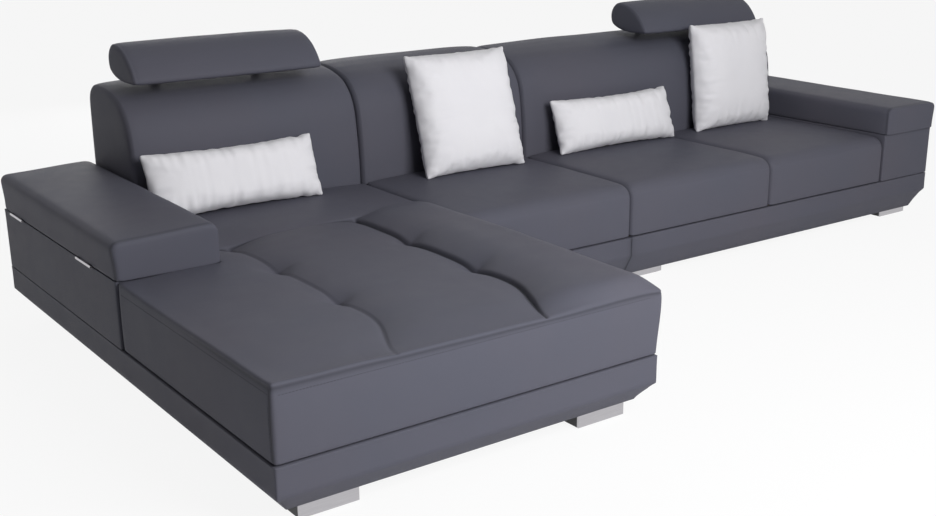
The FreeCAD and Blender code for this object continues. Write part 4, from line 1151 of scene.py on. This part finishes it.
def lid(side):
    node = side + "_lid_pad"
    way = 1 if side == "left" else -1
    low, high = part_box(node)
    low.z -= LID_LOWER
    top = high.z - LID_CROWN
    west = low.x + LID_SIDE
    east = high.x - LID_SIDE
    roll = LID_ROLL * (1 - math.sqrt(0.5))
    outline = ring([
        ((east, low.z), 0, 1),
        ((west, low.z), 0, 1),
        ((west, top - LID_ROLL), roll, 5),
        ((west + LID_ROLL, top), 0, 1),
        ((east - LID_ROLL, top), roll, 5),
        ((east, top - LID_ROLL), 0, 1),
    ])
    piece = turned_form(side + "_lid", outline, "y", low.y, high.y, LID_END, low.z)
    seams = (low.y + LID_END, high.y - LID_END)
    sliced(piece, "y", between_seams(*seams, 0.03))
    sliced(piece, "x", [west + 0.003, east - 0.003] + spaced(west + LID_ROLL, east - LID_ROLL, 0.03))
    sliced(piece, "z", [low.z + 0.003] + spaced(low.z, top - LID_ROLL, 0.025))

    def swell(place, normal):
        if normal.z < -0.5:
            return Vector()
        u = across(place.x, west, east)
        v = across(place.y, low.y, high.y)
        inner = u * way
        height = smooth(place.z, low.z + 0.02, top)
        share = 1 if side == "left" else RIGHT_LID_SHARE
        fuller = LID_FULL * share * smooth(inner, -0.9, 0.9) + LID_REAR * smooth(v, -1, 1)
        lean = Vector((-LID_LEAN * way * smooth(-inner, 0.3, 1), 0, fuller))
        full = 0.003 * hill(v, flat=6) * (hill(u, flat=3) if normal.z > 0.7 else 1)
        return lean * height + normal * (full + slack(place, scale=5.0, amount=0.0015))

    moved(piece, swell)
    end_seams(piece, "y", *seams, depth=0.0020, width=0.004, mark=0.45)
    subdivided(piece)
    finished(piece, node, side + "_lid")


for side in ("left", "right"):
    arm_cover(side)
    lid(side)

# %% [markdown]
# ## The base
#
# A padded band runs round each module under the seats. It is straight above and turned in below, so
# its section is drawn once and pushed from corner to corner. At each corner the new end is set on the
# mitre.

# %% Base bands
BAND_THICK = 0.032
BAND_ROUND = 0.003
BEVEL_WIDE = 0.044
WRAP_WIDE = 0.060
WRAP_TOP = 0.0712
WRAP_LOW = 0.066
BAND_EDGES = (0.103, 0.050)
SKIRT_EDGES = (0.113, 0.031)
JOINT_CLOSED = 0.0023
SKIRT_STEP = 0.02
LOW_EDGES = BAND_EDGES[0] + 0.012
CREASE = 0.6


def band_section(top, edges):
    """The outline of a band across its run, as depth behind its face and height."""
    return [
        (0.0, top - BAND_ROUND),
        (BAND_ROUND * 0.3, top - BAND_ROUND * 0.3),
        (BAND_ROUND, top),
        (BAND_THICK, top),
        (BAND_THICK, WRAP_TOP),
        (WRAP_WIDE, WRAP_TOP),
        (WRAP_WIDE, WRAP_LOW),
        (BEVEL_WIDE + 0.004, WRAP_LOW - 0.002),
        (BEVEL_WIDE + 0.002, edges[1] + 0.001),
        (BEVEL_WIDE, edges[1]),
        (0.0, edges[0]),
    ]


def base_band(name, node, corners):
    """A band through corners, each given with the two edges of its bevel there."""
    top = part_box(node)[1].z
    points = [Vector((x, y, 0)) for x, y, _ in corners]
    sections = [band_section(top, edges) for _, _, edges in corners]
    count = len(sections[0])
    inward = []
    for start, end in zip(points, points[1:]):
        along = (end - start).normalized()
        inward.append(Vector((-along.y, along.x, 0)))
    turns = [a if a.dot(b) > 0.9 else a + b for a, b in zip(inward, inward[1:])]
    steps = [inward[0]] + turns + [inward[-1]]
    rings = [[corner + step * depth + Vector((0, 0, height)) for depth, height in section]
             for corner, step, section in zip(points, steps, sections)]
    bpy.ops.object.select_all(action="DESELECT")
    bpy.ops.mesh.primitive_circle_add(vertices=count, fill_type="NGON", location=(0, 0, 0))
    piece = bpy.context.object
    piece.name = name
    for vertex, place in zip(piece.data.vertices, rings[0]):
        vertex.co = place
    for number, ring_places in enumerate(rings[1:]):
        open_for_edit(piece)
        if number:
            bpy.ops.mesh.select_all(action="DESELECT")
            mesh = bmesh.from_edit_mesh(piece.data)
            for vertex in mesh.verts:
                vertex.select_set(vertex.index >= len(mesh.verts) - count)
            mesh.select_flush(True)
        bpy.ops.mesh.extrude_region_move(TRANSFORM_OT_translate={"value": (0, 0, 0)})
        close_edit(piece)
        for vertex, place in zip(list(piece.data.vertices)[-count:], ring_places):
            vertex.co = place
    open_for_edit(piece)
    bpy.ops.mesh.normals_make_consistent(inside=False)
    crisp = pick(piece, "EDGE", lambda ends: all(c.z < LOW_EDGES for c in ends)
                 and abs(ends[0].z - ends[1].z) < 0.03)
    bpy.ops.transform.edge_crease(value=CREASE)
    crisp += pick(piece, "EDGE", lambda ends: all(abs(c.x - points[0].x) < SAME for c in ends))
    bpy.ops.transform.edge_crease(value=CREASE)
    print(name, "has", crisp, "creased edges")
    return close_edit(piece)


# %% Bands round the two modules
BAND_SPACING = 0.06
BAND_EDGE = 0.006
BAND_SLACK = 0.0012
BESIDE_CORNER = (0.010, 0.048, 0.064)
BESIDE_JOINT = (0.0045, 0.007)
left_low, left_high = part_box("left_base_padding")
right_low, right_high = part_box("right_base_padding")
left_end = left_high.x + JOINT_CLOSED
right_end = right_low.x - JOINT_CLOSED
chaise_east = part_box("chaise_seat_cushion")[1].x + 0.001
sofa_front = right_low.y
BAND_CORNERS = {
    "left": [(left_end, left_high.y, BAND_EDGES), (left_low.x, left_high.y, BAND_EDGES),
             (left_low.x, left_low.y, BAND_EDGES), (chaise_east, left_low.y, BAND_EDGES),
             (chaise_east, sofa_front, BAND_EDGES), (chaise_east + SKIRT_STEP, sofa_front, SKIRT_EDGES),
             (left_end, sofa_front, SKIRT_EDGES)],
    "right": [(right_end, right_low.y, SKIRT_EDGES), (right_high.x, right_low.y, SKIRT_EDGES),
              (right_high.x, right_high.y, SKIRT_EDGES), (right_end, right_high.y, SKIRT_EDGES)],
}


def padded_band(side, joint, inward):
    """The band of one module, cut close beside its corners and at the joint, and a little slack."""
    node = side + "_base_padding"
    corners = BAND_CORNERS[side]
    piece = base_band(side + "_base_band", node, corners)
    turned = [corner[:2] for corner in corners[1:-1]]
    bevelled(piece, BAND_EDGE, lambda ends: any(all(math.dist(c[:2], turn) < 0.002 for c in ends)
                                                for turn in turned))
    low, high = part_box(node)
    beside = [[corner[axis] + way * away for corner in set(turned) for way in (-1, 1)
               for away in BESIDE_CORNER] for axis in (0, 1)]
    sliced(piece, "x", spaced(low.x + 0.08, high.x - 0.05, BAND_SPACING) + beside[0]
           + [joint + inward * away for away in BESIDE_JOINT])
    sliced(piece, "y", spaced(low.y + 0.08, high.y - 0.08, BAND_SPACING) + beside[1])
    sliced(piece, "z", [SKIRT_EDGES[0] + 0.012, SKIRT_EDGES[0] + 0.030, high.z - 0.02])

    def swell(place, normal):
        full = hill(across(place.z, SKIRT_EDGES[1], high.z), flat=4)
        outward = full * (0.001 + slack(place, scale=6.0, amount=BAND_SLACK))
        return Vector((normal.x, normal.y, 0)) * outward

    moved(piece, swell)
    # painted shade where the bands of the two modules meet at the joint
    paint_seam_shade(piece, lambda place: abs(place.x - joint), width=0.004)
    subdivided(piece)
    finished(piece, node)


padded_band("left", left_high.x, -1)
padded_band("right", right_low.x, 1)

# %% [markdown]
# ## The scatter cushions
#
# Each loose cushion is two panels sewn together at the edge and stuffed. A thin block is cut into a
# fine net, swollen and puckered by rule, and then blown up as cloth for a few frames, which evens the
# folds out as stuffing does.

# %% Stuffing
STUFFING = {
    "mass": 0.25,
    "tension_stiffness": 30,
    "compression_stiffness": 10,
    "shear_stiffness": 8,
    "bending_stiffness": 0.06,
    "air_damping": 4,
    "quality": 5,
    "use_pressure": True,
    "uniform_pressure_force": 1.4,
}
STUFFING_FRAMES = 14
STUFFING_CAP = 0.007


def stuffed(piece):
    """Blows a closed form up as cloth, lets no point move further than the cap, and keeps the result."""
    before = [v.co.copy() for v in piece.data.vertices]
    modifier = piece.modifiers.new("stuffing", "CLOTH")
    for name, value in STUFFING.items():
        setattr(modifier.settings, name, value)
    modifier.settings.effector_weights.gravity = 0
    modifier.collision_settings.use_collision = False
    modifier.point_cache.frame_end = STUFFING_FRAMES
    for number in range(1, STUFFING_FRAMES + 1):
        bpy.context.scene.frame_set(number)
    shaped = piece.evaluated_get(bpy.context.evaluated_depsgraph_get())
    after = [v.co.copy() for v in shaped.data.vertices]
    piece.modifiers.remove(modifier)
    bpy.context.scene.frame_set(1)
    furthest = 0.0
    for vertex, start, end in zip(piece.data.vertices, before, after):
        step = end - start
        vertex.co = start + step * min(1.0, STUFFING_CAP / max(step.length, 1e-6))
        furthest = max(furthest, step.length)
    print("cloth would move", piece.name, "by", round(furthest, 4), "and the cap is", STUFFING_CAP)


# %% Scatter cushions
PILLOWS = {
    "left_long": {"wide": 0.606, "tall": 0.215, "thick": 0.110, "lean": 20},
    "right_long": {"wide": 0.606, "tall": 0.215, "thick": 0.110, "lean": 20},
    "left_square": {"wide": 0.445, "tall": 0.450, "thick": 0.125, "lean": 18},
    "right_square": {"wide": 0.445, "tall": 0.450, "thick": 0.125, "lean": 8},
}
PILLOW_SPACING = 0.009
EDGE_HALF = 0.006
EDGE_BOW = 0.004
EDGE_WAVE = 0.003
EDGE_WAVE_SCALE = 38
PUCKER = 0.013
PUCKER_SCALE = 55
RUMPLE = 0.0015
RUMPLE_SCALE = 18


def pillow(kind, wide, tall, thick, lean):
    """A sewn and stuffed cushion, made upright at the origin and then leant back by some degrees."""
    node = kind + "_pillow"
    low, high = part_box(node)
    piece = block(node + "_cover", (-wide / 2, -EDGE_HALF, -tall / 2), (wide / 2, EDGE_HALF, tall / 2))
    sliced(piece, "x", spaced(-wide / 2, wide / 2, PILLOW_SPACING))
    sliced(piece, "z", spaced(-tall / 2, tall / 2, PILLOW_SPACING))
    sliced(piece, "y", [0])

    def plump(place, normal):
        u = place.x / (wide / 2)
        v = place.z / (tall / 2)
        side = 1 if place.y > 0 else -1
        full = (hill(u, flat=4) * hill(v, flat=4)) ** 0.6
        depth = side * (thick / 2 - EDGE_HALF) * full if abs(place.y) > 0.001 else 0
        bow_x = -EDGE_BOW * hill(v) * smooth(abs(u), 0.75, 1) * (1 if u > 0 else -1)
        bow_z = -EDGE_BOW * hill(u) * smooth(abs(v), 0.75, 1) * (1 if v > 0 else -1)
        from_side = wide / 2 - abs(place.x)
        from_top = tall / 2 - abs(place.z)
        inward = min(from_side, from_top)
        along = place.z if from_side < from_top else place.x
        pucker = noise.noise(Vector((along * PUCKER_SCALE, side * 3, wide * 7 + inward * 9)))
        depth += side * PUCKER * pucker * math.exp(-inward / 0.05) * smooth(inward, 0, 0.012)
        depth += side * RUMPLE * noise.noise(place * RUMPLE_SCALE)
        wave = EDGE_WAVE * noise.noise(Vector((along * EDGE_WAVE_SCALE, 5, tall * 9)))
        wave *= math.exp(-inward / 0.02)
        if from_side < from_top:
            return Vector((bow_x + wave, depth, bow_z))
        return Vector((bow_x, depth, bow_z + wave))

    moved(piece, plump)
    stuffed(piece)
    subdivided(piece)
    turned = Matrix.Rotation(-math.radians(lean), 4, "X")
    piece.data.transform(Matrix.Translation((low + high) / 2) @ turned)
    finished(piece, node, kind + "_cushion", cover=cotton)


for kind, measures in PILLOWS.items():
    pillow(kind, **measures)
